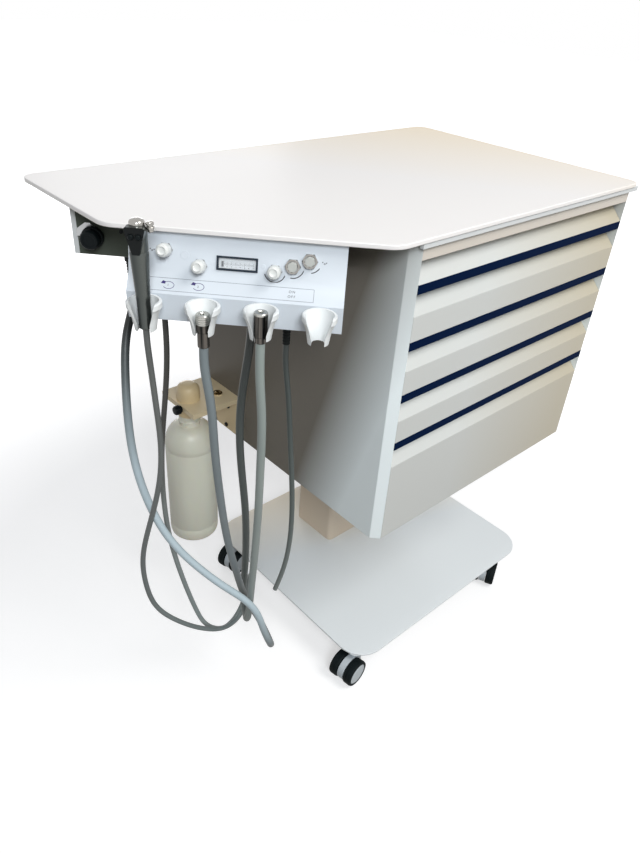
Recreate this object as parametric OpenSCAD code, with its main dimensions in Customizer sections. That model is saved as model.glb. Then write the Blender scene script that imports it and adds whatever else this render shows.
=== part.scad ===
// Portable dental unit: a drawer cabinet on a column and a castered base,
// with an instrument panel under the cut corner of the worktop.
// Everything is placed from the cabinet's front left corner on the floor.

/* [Placing] */
// Cabinet's left side, from the middle of the unit
cabinet_left = -114.5; // [-160:0.1:-80]
// Cabinet's front plane, from the middle of the unit
cabinet_front = -220.5; // [-260:0.5:-180]

/* [Worktop] */
// Height of the worktop above the floor
worktop_z = 830; // [790:5:880]
// Thickness of the worktop
worktop_t = 6; // [4:1:12]
// Overhang past the cabinet's left side
over_left = 273; // [262:1:330]
// Overhang past the drawer fronts
over_front = 8; // [7:1:14]
// Overhang past the cabinet's back
over_back = 8; // [0:1:30]
// Overhang past the cabinet's right side
over_right = 2; // [0:1:20]
// Where the cut corner meets the front edge, left of the cabinet
cut_start = 38; // [32:1:44]
// Rounding of the two corners of the cut
cut_r = 34; // [10:1:60]
// Rounding of the square corners
square_r = 20; // [5:1:40]

/* [Cabinet] */
// Width of the cabinet
cab_w = 510; // [460:5:600]
// Depth of the cabinet
cab_d = 441; // [430:1:480]
// Height of the cabinet under the worktop
cab_h = 462; // [456:1:500]
// Thickness of the folded sheet
skin = 1.5; // [1:0.1:2]
// Width of the slanted stiles beside the fronts
stile = 12; // [8:0.5:16]
// Depth of the fold behind each stile
stile_fold = 22; // [15:1:26]
// Height of the white lip under the worktop
lip_h = 7; // [4:0.5:8]
// How far the lip stands out over the fronts
lip_out = 6; // [3:0.5:7]
// Dark line between the lip and the rail
lip_gap = 1.4; // [1:0.1:3]
// Height of the beige rail over the top drawer
rail_h = 15.5; // [12:0.5:18]

/* [Drawers] */
// Height of one drawer row
row_h = 77; // [74:0.5:78]
// Lower edge of the top front, below the worktop
top_row = 67; // [65:0.5:70]
// Free height of the finger grip over each front
grip_gap = 29; // [26:0.5:32]
// Depth of the fronts, which is also the run of the slanted grip
front_t = 20; // [16:0.5:22]
// Height of the navy strip along the foot of a front
strip_h = 12.5; // [8:0.5:16]
// Thickness of the navy strip
strip_t = 1.5; // [1:0.1:2]
// Gap at each end of a front
front_gap = 0.6; // [0.4:0.1:2]
// Room for a runner beside each drawer box
runner_w = 14; // [13:0.5:18]
// Height of a runner
runner_h = 35; // [30:1:38]
// Length of a runner and of the drawer boxes
drawer_l = 390; // [340:5:400]
// Thickness of the drawer and runner sheet
thin = 1.2; // [0.8:0.1:1.5]
// Free play of the runners
play = 0.4; // [0.3:0.1:0.6]

/* [Stand] */
// Diameter of the caster wheels
wheel_d = 50; // [45:1:50]
// Width of each of the twin wheels
wheel_w = 17; // [14:0.5:18]
// Underside of the base plate above the floor
plate_z = 62; // [60:0.5:70]
// Thickness of the base plate
plate_t = 4; // [3:0.5:6]
// Corner radius of the base plate
plate_r = 50; // [40:1:60]
// Gap from the cabinet's outline in to the base plate
plate_in = 8; // [0:1:20]
// Width of the column
column_w = 160; // [120:5:200]
// Depth of the column
column_d = 105; // [80:5:140]
// Rounding of the column
column_r = 10; // [4:1:20]
// Sheet thickness of the column
column_t = 2.5; // [2:0.5:4]
// How far the wheels trail behind the caster stems
trail = 20; // [18:1:22]
// Diameter of the caster stems
stem_d = 10; // [8:1:12]
// Running clearance of stems and axles, on the radius
run_gap = 0.08; // [0.05:0.01:0.1]

/* [Control panel] */
// Length of the control panel
panel_l = 248; // [244:1:260]
// From the front end of the cut to the middle of the panel
panel_mid = 181; // [175:1:190]
// Thickness of the panel sheet
panel_t = 1.5; // [1:0.1:2]
// Height of the housing behind the panel
box_h = 64; // [60:1:70]
// Distance in from the cut to the panel's top edge
panel_in = 8; // [7:0.5:12]
// Rise and run of the leaning face that holds the knobs
face_drop = 39; // [37:0.5:44]
// How far the leaning face comes forward
face_run = 11; // [8:0.5:14]
// Diameter of the white valve knobs
knob_d = 16; // [12:0.5:18]
// Length of the white valve knobs
knob_l = 18; // [14:0.5:20]
// Diameter of the black side knob
side_knob_d = 24.5; // [20:0.5:28]

/* [Instruments] */
// Distance between the instrument holders
holder_pitch = 65.5; // [60:0.5:67]
// Height of a holder
holder_h = 35; // [30:1:40]
// Diameter over the lip of a holder
holder_d = 40; // [36:0.5:44]
// Width of a holder's open front at its foot
holder_slot = 15; // [15:0.5:18]
// Width of a holder's open front at its lip
holder_open = 30; // [24:1:32]
// Diameter of the hose connectors
connector_d = 14; // [13:0.5:14]
// Diameter of the two thick hoses
thick_hose = 11; // [9:0.5:12]
// Diameter of the two thin hoses
thin_hose = 7.5; // [6:0.5:8]

/* [Bottle] */
// Diameter of the bottle
bottle_d = 90; // [80:1:96]
// Height of the bottle's straight side and shoulder
bottle_h = 244; // [220:1:255]
// Wall of the bottle
bottle_wall = 2; // [1.5:0.1:3]
// Diameter of the bottle's neck
neck_d = 36; // [30:1:40]
// Bottle's middle, left of the cabinet
bottle_out = 71; // [68:1:90]
// Height of the bracket plate above the floor
bracket_z = 446; // [440:1:460]

/* [Hidden] */
$fn = 48;
eps = 0.01;
root2 = sqrt(2);

cab_top = worktop_z - worktop_t;
cab_bottom = cab_top - cab_h;
rail_top = cab_top - lip_h - lip_gap;
rail_bottom = rail_top - rail_h;
plate_top = plate_z + plate_t;
drawer_rows = 5;
white = "white";
cream = [0.93, 0.9, 0.84];
navy = [0.02, 0.09, 0.2];
hose_grey = [0.5, 0.56, 0.6];
black = [0.06, 0.06, 0.07];
dark_grey = [0.24, 0.23, 0.22];
chrome = [0.75, 0.75, 0.76];

// ---- outlines ----

// Unit normal of the edge a-b, pointing to the left of its direction
function left_of(a, b) = [a.y - b.y, b.x - a.x] / norm(b - a);

// Outline moved inwards by d; its points run anticlockwise
function inset(p, d) = [
    for (i = [0 : len(p) - 1])
        let (a = p[(i + len(p) - 1) % len(p)], b = p[i], c = p[(i + 1) % len(p)])
        let (n = left_of(a, b), m = left_of(b, c))
        b + (n + m) * d / (1 + n * m)
];

// Outline with corner i rounded to radius r[i]; its points run anticlockwise
function rounded(p, r, steps = 8) = [
    for (i = [0 : len(p) - 1])
        let (a = p[(i + len(p) - 1) % len(p)], b = p[i], c = p[(i + 1) % len(p)])
        let (n = left_of(a, b), m = left_of(b, c))
        let (middle = b + (n + m) * r[i] / (1 + n * m))
        let (start = atan2(-n.y, -n.x), turn = acos(n * m))
        for (k = [0 : steps])
            let (angle = start + turn * k / steps)
            middle + r[i] * [cos(angle), sin(angle)]
];

function box_outline(x0, y0, x1, y1) = [[x0, y0], [x1, y0], [x1, y1], [x0, y1]];

// ---- places ----

module at_cabinet() translate([cabinet_left, cabinet_front, 0]) children();

// Along the cut: x runs to the front end, y runs inwards, z stays the floor's
module at_panel()
    at_cabinet()
    translate([-cut_start, -over_front, 0])
    rotate([0, 0, -45])
    translate([-panel_mid, 0, 0])
    children();

// Plan point of the cabinet from a place along (u) and in from (v) the cut
function plan(u, v) = [
    -cut_start + (u - panel_mid + v) / root2,
    -over_front + (panel_mid - u + v) / root2
];

// An outline drawn across the cabinet's width: first value inwards, second up
module across(x0, x1, points)
    translate([x0, 0, 0])
    rotate([90, 0, 90])
    linear_extrude(x1 - x0)
    polygon(points);

module block(x0, y0, z0, x1, y1, z1)
    translate([x0, y0, z0])
    cube([x1 - x0, y1 - y0, z1 - z0]);

// ---- worktop and cabinet ----

module worktop() {
    back = cab_d + over_back;
    outline = [
        [-cut_start, -over_front],
        [cab_w + over_right, -over_front],
        [cab_w + over_right, back],
        [-over_left, back],
        [-over_left, over_left - cut_start - over_front]
    ];
    color(white)
        at_cabinet()
        translate([0, 0, cab_top])
        linear_extrude(worktop_t)
        polygon(rounded(outline, [cut_r, square_r, square_r, square_r, cut_r]));
}

module top_frame() {
    lip_start = 4;
    color(white) at_cabinet() {
        block(lip_start, -lip_out, cab_top - lip_h, cab_w, 0, cab_top);
        block(stile, -eps, cab_top - skin, cab_w - stile, stile_fold + eps, cab_top);
        block(skin, stile_fold, cab_top - skin, cab_w - skin, cab_d - 2 * skin, cab_top);
    }
}

module top_rail() {
    outer = box_outline(0, rail_bottom, front_t, rail_top);
    inner = box_outline(skin, rail_bottom + skin, front_t + 1, rail_top - skin);
    color([0.8, 0.78, 0.74]) at_cabinet() difference() {
        across(stile, cab_w - stile, outer);
        across(stile - 1, cab_w, inner);
    }
}

// One side: a flat skin, a slanted stile, a fold behind it and a return at the back
function side_outline() = [
    [0, stile], [stile, 0], [stile, stile_fold], [stile - skin, stile_fold],
    [stile - skin, skin * (1 + root2)], [skin, stile + skin * (root2 - 1)],
    [skin, cab_d - skin], [stile, cab_d - skin], [stile, cab_d], [0, cab_d]
];

module side() {
    translate([0, 0, cab_bottom])
        linear_extrude(cab_h)
        polygon(side_outline());
}

module side_left() color(white) at_cabinet() side();

module side_right()
    color(white)
    at_cabinet()
    translate([cab_w, 0, 0])
    mirror([1, 0, 0])
    side();

module back_and_floor() {
    back_y = cab_d - 2 * skin;
    color(white) at_cabinet() {
        block(skin, back_y, cab_bottom, cab_w - skin, cab_d - skin, cab_top - skin);
        block(skin, stile_fold, cab_bottom, cab_w - skin, back_y, cab_bottom + skin);
    }
}

// ---- drawers ----

// Lower edge of front i, counted from 0 at the top
function front_foot(i) = i < drawer_rows - 1 ? cab_top - top_row - i * row_h : cab_bottom;

// Height of the upright face of front i
function face_h(i) =
    i == 0 ? strip_h :
    i < drawer_rows - 1 ? row_h - grip_gap :
    front_foot(i - 1) - grip_gap - cab_bottom;

function has_strip(i) = i < drawer_rows - 1;

// Side view of a front: rebate for the strip, upright face, slanted grip
function front_outline(i) =
    let (h = face_h(i), r = has_strip(i) ? strip_t : 0)
    concat(
        [[front_t, 0], [front_t, h + front_t]],
        h > strip_h ? [[0, h]] : [],
        has_strip(i) ? [[0, strip_h], [r, strip_h], [r, 0]] : [[0, 0]]
    );

// The same outline inside the sheet, open at the back
function front_hollow(i) = [
    for (p = inset(front_outline(i), skin))
        p.x > front_t - 2 * skin ? [front_t + 1, p.y] : p
];

front_x0 = stile + front_gap;
front_x1 = cab_w - stile - front_gap;

module front(i) {
    tint = i == drawer_rows - 1 ? [0.82, 0.8, 0.77] : [0.86, 0.85, 0.83];
    color(tint)
        at_cabinet()
        translate([0, 0, front_foot(i)])
        difference() {
            across(front_x0, front_x1, front_outline(i));
            across(front_x0 + skin, front_x1 - skin, front_hollow(i));
        }
}

module strip(i)
    color(navy)
    at_cabinet()
    block(front_x0, 0, front_foot(i), front_x1, strip_t, front_foot(i) + strip_h);

tray_x0 = stile + runner_w;
tray_x1 = cab_w - stile - runner_w;
tray_y1 = front_t + drawer_l;
tray_clear = 4;
runner_mid = tray_clear + runner_h / 2 - play;

// Height of the drawer box's walls over the foot of its front
function tray_top(i) =
    i == 0 ? row_h - grip_gap - thin - 9 :
    i < drawer_rows - 1 ? row_h - 19 :
    face_h(i) + thin;

// Two flanges that ride in the fixed runner on the left
module tray_flanges(i) {
    reach = runner_w - thin - play;
    half = runner_h / 2 - thin - play;
    for (side = [-1, 1])
        translate([tray_x0 - reach, front_t + thin + play, front_foot(i) + runner_mid + side * half])
            translate([0, 0, side > 0 ? -thin : 0])
            cube([reach + thin / 2, drawer_l - thin - play, thin]);
}

module tray(i) {
    foot = front_foot(i);
    low = foot + tray_clear;
    high = foot + tray_top(i);
    color(white) at_cabinet() {
        difference() {
            block(tray_x0, front_t, low, tray_x1, tray_y1, high);
            block(tray_x0 + thin, front_t + thin, low + thin, tray_x1 - thin, tray_y1 - thin, high + 1);
        }
        block(front_x0, front_t, low, front_x1, front_t + thin, high);
        tray_flanges(i);
        translate([cab_w, 0, 0]) mirror([1, 0, 0]) tray_flanges(i);
    }
}

// A fixed channel on the left side, open towards the drawer, on two stand-offs
module runner(i) {
    half = runner_h / 2;
    web_x = stile;
    back_x = tray_x0 - play;
    start = stile_fold + play;
    run = tray_y1 - start;
    stand_l = 30;
    stand_h = 20;
    channel = [
        [web_x, -half], [back_x, -half], [back_x, thin - half], [web_x + thin, thin - half],
        [web_x + thin, half - thin], [back_x, half - thin], [back_x, half], [web_x, half]
    ];
    translate([0, start + run, front_foot(i) + runner_mid])
        rotate([90, 0, 0])
        linear_extrude(run)
        polygon(channel);
    for (y = [start + stand_l, tray_y1 - 2 * stand_l])
        translate([skin, y, front_foot(i) + runner_mid - stand_h / 2])
            cube([web_x - skin + thin / 2, stand_l, stand_h]);
}

module runners()
    color("silver") at_cabinet()
        for (i = [0 : drawer_rows - 1]) {
            runner(i);
            translate([cab_w, 0, 0]) mirror([1, 0, 0]) runner(i);
        }

// ---- stand ----

column_x = cab_w / 2 - column_w / 2;
column_y = 265;

module column() {
    outer = rounded(
        box_outline(column_x, column_y, column_x + column_w, column_y + column_d),
        [column_r, column_r, column_r, column_r]
    );
    color(cream) at_cabinet() translate([0, 0, plate_top]) difference() {
        linear_extrude(cab_bottom - plate_top) polygon(outer);
        translate([0, 0, column_t])
            linear_extrude(cab_bottom - plate_top)
            polygon(inset_round(column_t));
    }
}

function inset_round(d) = rounded(
    box_outline(column_x + d, column_y + d, column_x + column_w - d, column_y + column_d - d),
    [for (i = [0 : 3]) column_r - d]
);

// Places of the four caster stems and the way each wheel pair trails
caster_left = 32;
caster_right = 428;
caster_front = 34;
caster_back = 386;
casters = [
    [caster_left, caster_front, 188],
    [caster_right, caster_front, 206],
    [caster_right, caster_back, 205],
    [caster_left, caster_back, 192]
];
boss_d = 38;
boss_h = 3;
stem_top = plate_z + plate_t / 2;

module base_plate() {
    outline = box_outline(plate_in, 2, cab_w - plate_in, cab_d + 4);
    color([0.95, 0.93, 0.9]) at_cabinet() difference() {
        union() {
            translate([0, 0, plate_z])
                linear_extrude(plate_t)
                polygon(rounded(outline, [plate_r, plate_r, plate_r, plate_r]));
            for (c = casters)
                translate([c.x, c.y, plate_z - boss_h])
                    cylinder(d = boss_d, h = boss_h + eps);
        }
        for (c = casters)
            translate([c.x, c.y, plate_z - boss_h - 1])
                cylinder(d = stem_d + 2 * run_gap, h = stem_top - plate_z + boss_h + 1 + play);
    }
}

axle_d = 6;
axle_z = wheel_d / 2;
web_t = 12;
wheel_gap = 1;
wheel_space = wheel_w + 2 * wheel_gap;

module at_caster(i)
    at_cabinet()
    translate([casters[i].x, casters[i].y, 0])
    rotate([0, 0, casters[i].z])
    children();

// Disc between the twin wheels that carries their axle, its neck and the swivel stem
module caster(i) {
    rim_in = 2;
    neck_d = 22;
    neck_foot = axle_z + 8;
    boss_foot = plate_z - boss_h - play;
    color([0.6, 0.61, 0.63]) at_caster(i) difference() {
        union() {
            translate([trail, 0, axle_z])
                rotate([90, 0, 0])
                cylinder(r = wheel_d / 2 - rim_in, h = web_t, center = true, $fn = 72);
            cylinder_from(neck_foot, boss_foot, neck_d);
            cylinder_from(neck_foot, stem_top, stem_d);
        }
        translate([trail, 0, axle_z]) rotate([90, 0, 0]) {
            cylinder(r = axle_d / 2 + run_gap, h = web_t + 2, center = true);
            for (side = [-1, 1])
                translate([0, 0, side * (web_t / 2 + wheel_space / 2)])
                    cylinder(r = wheel_d / 2 + wheel_gap, h = wheel_space, center = true);
        }
    }
}

module cylinder_from(z0, z1, d)
    translate([0, 0, z0])
    cylinder(d = d, h = z1 - z0);

// A rounded tyre with a wide, slightly domed hub disc outside
module wheel() {
    r = wheel_d / 2;
    edge = 4;
    hub_r = 0.78 * r;
    rotate_extrude($fn = 64) polygon([
        [0, 0], [r - edge, 0], [r - edge / 3, edge / 3], [r, edge],
        [r, wheel_w - edge], [r - edge / 3, wheel_w - edge / 3], [r - edge, wheel_w],
        [hub_r, wheel_w], [hub_r - 0.6, wheel_w - 1], [hub_r / 2, wheel_w - 0.3], [0, wheel_w]
    ]);
}

module wheels(i)
    color(black)
    at_caster(i)
    translate([trail, 0, axle_z]) {
        rotate([90, 0, 0])
            cylinder(d = axle_d, h = web_t + 4, center = true);
        for (side = [0, 1])
            rotate([90, 0, 180 * side])
                translate([0, 0, web_t / 2 + wheel_gap])
                wheel();
    }

// ---- control housing and panel ----

box_foot = cab_top - box_h;
face_top = cab_top - 8;
fold_out = 16;
fold_z = face_top - face_drop - 18;
skirt_z = cab_top - 98;
skirt_back = 2;
side_in = 80;
side_run = 93;
side_flange = 7;
face_tilt = atan2(face_run, face_drop);
fold_v = panel_in - face_run - fold_out;

// Panel seen from its end: first value in from the cut, second the height
function panel_line() = [
    [panel_in, cab_top], [panel_in, face_top], [panel_in - face_run, face_top - face_drop],
    [fold_v, fold_z], [fold_v + skirt_back, skirt_z]
];

// Place along the outside of the lower face
function skirt_v(z) = fold_v + skirt_back * (fold_z - z) / (fold_z - skirt_z);

// The housing's outline: panel at the front, then the end wall, the cabinet and the back
function housing_outline() =
    let (half = panel_l / 2, v = panel_in + panel_t, back = cab_d - 11)
    let (right = plan(half, v), left = plan(-half, v))
    let (notch = plan(-half, side_in), tip = plan(-half - side_run, side_in))
    [
        left, right, [0, right.y - right.x], [0, back],
        [tip.x + back - tip.y, back], [tip.x, tip.y], notch
    ];

module control_housing() {
    wall = 2;
    rim = 6;
    outline = housing_outline();
    half = panel_l / 2 - wall - rim;
    window = [
        plan(-half, panel_in), plan(half, panel_in),
        plan(half, panel_in + 2 * wall + panel_t), plan(-half, panel_in + 2 * wall + panel_t)
    ];
    color(white) at_cabinet() translate([0, 0, box_foot]) difference() {
        linear_extrude(box_h) polygon(outline);
        translate([0, 0, wall]) linear_extrude(box_h) polygon(inset(outline, wall));
        translate([0, 0, wall + rim]) linear_extrude(box_h) polygon(window);
    }
}

// Sheet of even thickness behind the panel's line
function panel_sheet() =
    let (line = panel_line(), n = len(line))
    let (back = [
        for (i = [n - 1 : -1 : 0])
            i == 0 ? line[0] + [panel_t, 0] :
            i == n - 1 ? line[n - 1] + [panel_t, 0] :
            line[i] + panel_t * fold_shift(line[i - 1], line[i], line[i + 1])
    ])
    concat(line, back);

function fold_shift(a, b, c) =
    let (n = left_of(a, b), m = left_of(b, c))
    (n + m) / (1 + n * m);

module along_panel(u0, u1)
    translate([u0, 0, 0])
    rotate([90, 0, 90])
    linear_extrude(u1 - u0)
    children();

// A point on the leaning face, its z axis square out of the face
module on_face(u, s)
    at_panel()
    translate([u, panel_in - s * sin(face_tilt), face_top - s * cos(face_tilt)])
    rotate([90 - face_tilt, 0, 0])
    children();

// Knob places: along the panel, then down the leaning face
valve_places = [[-81.5, 14], [-42, 29], [43, 28.5]];
regulator_places = [[63, 21.3], [82, 14]];
gauge_place = [0, 23.6];
shaft_d = 5;
bush_d = 10;
bush_l = 6;

module control_panel() {
    cheek = concat(panel_line(), [[panel_in, box_foot], [panel_in, cab_top]]);
    color([0.96, 0.97, 1]) difference() {
        union() {
            at_panel() {
                along_panel(-panel_l / 2, panel_l / 2) polygon(panel_sheet());
                for (u = [-panel_l / 2, panel_l / 2 - panel_t])
                    along_panel(u, u + panel_t) polygon(cheek);
            }
            for (p = concat(valve_places, regulator_places))
                on_face(p.x, p.y) cylinder_from(-panel_t - bush_l, -panel_t / 2, bush_d);
        }
        for (p = concat(valve_places, regulator_places))
            on_face(p.x, p.y) cylinder_from(-20, 2, shaft_d + 2 * run_gap);
        on_face(gauge_place.x, gauge_place.y)
            cube([gauge_w - 2, gauge_h - 2, 12], center = true);
    }
}

gauge_w = 47;
gauge_h = 16;
gauge_travel = 34;

// Frame round the gauge window, with a closed tray behind it
module gauge() {
    rim = 2.2;
    out = 1.6;
    deep = 5;
    color(dark_grey) on_face(gauge_place.x, gauge_place.y) difference() {
        union() {
            translate([0, 0, out / 2]) cube([gauge_w, gauge_h, out], center = true);
            translate([0, 0, -deep / 2])
                cube([gauge_w - 2.4, gauge_h - 2.4, deep], center = true);
        }
        translate([0, 0, out - deep / 2 + 0.5])
            cube([gauge_w - 2 * rim, gauge_h - 2 * rim, deep], center = true);
    }
}

module gauge_pointer()
    color(black)
    on_face(gauge_place.x - gauge_travel / 2, gauge_place.y)
    translate([0, -1, -2.15])
    cube([2.4, 6, 1.5], center = true);

// White knob: hexagonal foot, turned grip with a ring on its cap
module valve_knob(i) {
    foot_h = 3;
    cap_d = 0.58 * knob_d;
    color([0.93, 0.93, 0.92]) on_face(valve_places[i].x, valve_places[i].y) {
        translate([0, 0, play]) cylinder(d = knob_d * 1.06, h = foot_h, $fn = 6);
        rotate_extrude() polygon([
            [0, play], [knob_d / 2 - 0.7, play], [knob_d / 2 - 0.7, foot_h],
            [knob_d / 2, foot_h + 1], [knob_d / 2 - 0.8, knob_l - 1], [knob_d / 2 - 1.8, knob_l],
            [cap_d / 2 + 1, knob_l], [cap_d / 2, knob_l + 1.6], [cap_d / 2 - 1, knob_l + 1.6],
            [cap_d / 2 - 1.6, knob_l + 0.6], [0, knob_l + 0.6]
        ]);
        cylinder_from(-panel_t - bush_l, 1, shaft_d);
    }
}

bezel_d = 18.5;
bezel_h = 5;
regulator_d = 11;

module bezels()
    color(chrome) for (p = regulator_places)
        on_face(p.x, p.y) difference() {
            intersection() {
                cylinder(d = bezel_d, h = bezel_h, $fn = 6);
                cylinder(d1 = bezel_d + 4, d2 = bezel_d - 2.5, h = bezel_h);
            }
            cylinder_from(-1, bezel_h + 1, regulator_d + 1);
        }

// Fluted white knob inside the hexagonal bezel
module regulator_knob(i) {
    top = 11;
    flutes = 8;
    color([0.93, 0.93, 0.92]) on_face(regulator_places[i].x, regulator_places[i].y) {
        difference() {
            cylinder_from(play, top, regulator_d);
            for (k = [0 : flutes - 1])
                rotate([0, 0, 360 * k / flutes])
                    translate([regulator_d / 2 + 0.5, 0, bezel_h + 1])
                    cylinder(d = 2.4, h = top, $fn = 24);
        }
        cylinder_from(-panel_t - bush_l, 1, shaft_d);
    }
}

// Dark plate in the step at the left end, with its knob and bracket
module at_side()
    at_panel()
    translate([-panel_l / 2, side_in, 0])
    children();

side_plate_t = 1.5;
side_knob_u = -65.5;
side_knob_z = cab_top - 39;

module side_plate() {
    margin = 1;
    color(dark_grey) at_side() difference() {
        block(
            side_flange - side_run, -side_plate_t, box_foot + margin,
            -margin - panel_t, 0, cab_top - margin
        );
        translate([side_knob_u, 1, side_knob_z])
            rotate([90, 0, 0])
            cylinder(d = shaft_d + 2 * run_gap, h = side_plate_t + 2);
    }
}

module side_bracket() {
    arm = [[0, 0], [5, 1], [21, 14], [18, 18], [12, 18], [0, 9]];
    left = side_knob_u - 21;
    color([0.6, 0.62, 0.63]) at_side()
        translate([left, -side_plate_t, side_knob_z - 1.5])
        rotate([90, 0, 0])
        linear_extrude(2)
        polygon(arm);
}

module pressure_knob() {
    collar_d = side_knob_d + 2.5;
    collar_l = 6;
    reach = 18;
    start = side_plate_t + play + 2;
    color(black) at_side()
        translate([side_knob_u, 0, side_knob_z])
        rotate([90, 0, 0]) {
            cylinder_from(run_gap, start + 1, shaft_d);
            translate([0, 0, start]) rotate_extrude($fn = 64) polygon([
                [0, 0], [collar_d / 2 - 1, 0], [collar_d / 2, 1], [collar_d / 2, collar_l - 1],
                [collar_d / 2 - 1, collar_l], [side_knob_d / 2, collar_l],
                [side_knob_d / 2, reach - 2], [side_knob_d / 2 - 2, reach], [0, reach]
            ]);
        }
}

// ---- instruments ----

holder_v = fold_v - holder_d / 2;
holder_top = fold_z - 0.5;
holder_foot = holder_top - holder_h;
holder_bore = 7.3;
holder_wall = 3.5;
holder_places = [for (k = [-1.5 : 1 : 1.5]) k * holder_pitch];

// Inner radius of a holder at height h over its foot
function funnel_r(h) =
    holder_bore + (holder_d / 2 - holder_wall - holder_bore) * h / holder_h;

// A funnel whose front opens wider towards its thick lip, on an arm from the lower face
module holder() {
    r = holder_d / 2;
    lip = 7;
    straight = 8;
    foot_r = holder_bore + 5;
    arm_low = 5;
    arm_high = 28;
    difference() {
        union() {
            rotate_extrude($fn = 64) polygon([
                [0, 0], [foot_r - 0.6, 0], [foot_r, 0.6], [foot_r + 2.4, holder_h * 0.45],
                [r - 2, holder_h - lip - 3], [r, holder_h - lip], [r, holder_h - 1.2],
                [r - 1.2, holder_h], [0, holder_h]
            ]);
            translate([-9, 0, 0]) rotate([90, 0, 90]) linear_extrude(18) polygon([
                [0, arm_low + 4], [skirt_v(holder_foot + arm_low) - holder_v, arm_low],
                [skirt_v(holder_foot + arm_high) - holder_v, arm_high], [0, arm_high]
            ]);
        }
        rotate_extrude($fn = 64) polygon([
            [0, -1], [holder_bore, -1], [holder_bore, 0],
            [r - holder_wall, holder_h], [r - holder_wall, holder_h + 1], [0, holder_h + 1]
        ]);
        rotate([90, 0, 0]) linear_extrude(r + 1) polygon([
            [-holder_slot / 2, -1], [holder_slot / 2, -1], [holder_slot / 2, straight],
            [holder_open / 2, holder_h], [holder_open / 2, holder_h + 1],
            [-holder_open / 2, holder_h + 1], [-holder_open / 2, holder_h],
            [-holder_slot / 2, straight]
        ]);
    }
}

module holders()
    color(white) at_panel()
        for (u = holder_places)
            translate([u, holder_v, holder_foot])
                holder();

// Syringe: seated in the first holder and leaning a little outwards
syringe_lean = 1;
handle_seat = 1.5;
handle_l = 91;
handle_r = 10.5;
head_top = handle_l + 28.5;
head_front = 12.4;
tip_z = handle_l + 24.5;

module at_syringe()
    at_panel()
    translate([holder_places[0], holder_v, holder_foot + handle_seat])
    rotate([syringe_lean, 0, 0])
    children();

// Turned handle, round head, and a shield in front that is widest at the top
module syringe() {
    foot_r = 7.4;
    shield_foot = handle_l - 1;
    shield_back = 3;
    color([0.45, 0.47, 0.49]) at_syringe() difference() {
        union() {
            rotate_extrude() polygon([
                [0, 0], [foot_r - 1, 0], [foot_r, 1], [foot_r + 0.2, 32], [handle_r - 1.7, 56],
                [handle_r, handle_l - 3], [handle_r - 0.8, handle_l], [handle_r - 0.3, handle_l + 1],
                [handle_r - 0.3, tip_z - 3.5], [handle_r - 2, head_top], [0, head_top]
            ]);
            translate([0, -shield_back, 0])
                rotate([90, 0, 0])
                linear_extrude(head_front - shield_back)
                polygon([[-4, shield_foot], [4, shield_foot], [10.8, head_top - 4],
                    [10.8, head_top - 1.5], [9.3, head_top], [-9.3, head_top],
                    [-10.8, head_top - 1.5], [-10.8, head_top - 4]]);
        }
        for (k = [0, 1]) at_button(k) cylinder_from(-7, 1, button_d + 2 * play);
        translate([0, 0, tip_z]) rotate([0, 90, 0]) cylinder_from(tip_seat, 20, tip_stub_d + 2 * run_gap);
    }
}

button_d = 6;
button_out = 2.2;
button_x = 4;
button_z = head_top - 10;

module at_button(k)
    translate([k == 0 ? -button_x : button_x, -head_front, button_z])
    rotate([90, 0, 0])
    children();

module syringe_button(k)
    color(black)
    at_syringe()
    at_button(k)
    rotate_extrude($fn = 32) polygon([
        [0, -4.5], [button_d / 2, -4.5], [button_d / 2, button_out - 0.8],
        [button_d / 2 - 0.8, button_out], [0, button_out]
    ]);

tip_seat = 6;
tip_stub_d = 5;

// Chrome dome on the head, and the two collars beside it that take the spray tip
module nozzle() {
    dome_r = 8.5;
    tip_x = 14.6;
    color(chrome) at_syringe() {
        translate([0, 0, head_top]) rotate_extrude() polygon([
            [0, 0], [dome_r, 0], [dome_r, 1.6], [dome_r - 1.2, 4.2], [dome_r - 4, 5.9], [0, 6.6]
        ]);
        translate([0, 0, tip_z]) rotate([0, 90, 0])
            cylinder_from(tip_seat + run_gap, tip_x, tip_stub_d);
        translate([tip_x, 0, tip_z - 3]) rotate([0, -6, 0]) rotate_extrude() polygon([
            [0, 0], [3.4, 0], [3.4, 2.4], [4.3, 2.8], [4.3, 5.2], [3.2, 5.6], [3.2, 6.8],
            [4.3, 7.2], [4.3, 10], [3.6, 10.6], [1.6, 10.6], [1.6, 8], [0, 8]
        ]);
    }
}

// Top over, and foot under, a holder's foot for the two couplings
connector_tops = [24.5, 32.5];
connector_drops = [16.5, 5];

// Chrome coupling that hangs by its wider head in the funnel
module connector(i, ribs) {
    top = connector_tops[i];
    drop = connector_drops[i];
    r = connector_d / 2;
    head_r = r + 1.1;
    seat = holder_h * (head_r + 0.15 - holder_bore) / (holder_d / 2 - holder_wall - holder_bore);
    rib_pitch = 2.6;
    color(chrome) at_panel() translate([holder_places[i + 1], holder_v, holder_foot]) {
        rotate_extrude() polygon([
            [0, -drop], [r, -drop], [r, seat - 1], [head_r, seat],
            [head_r, top - 1], [head_r - 1, top], [2.5, top], [2.5, top - 3], [0, top - 3]
        ]);
        for (k = [0 : 1 : ribs - 1])
            translate([0, 0, top - 3 - k * rib_pitch])
                rotate_extrude()
                translate([head_r - 0.1, 0])
                polygon([[0, -0.9], [0.5, -0.5], [0.5, 0.5], [0, 0.9]]);
    }
}

module connector_1() connector(0, 4);
module connector_2() connector(1, 0);

// ---- glands and hoses ----

// Where each hose leaves the housing's floor, and its sleeve's length
gland_1 = [-212, 208];
gland_2 = [-207, 290];
gland_3 = [-129, 140];
gland_4 = [-105, 101];
nut_d = 18;
nut_h = 8;

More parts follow.
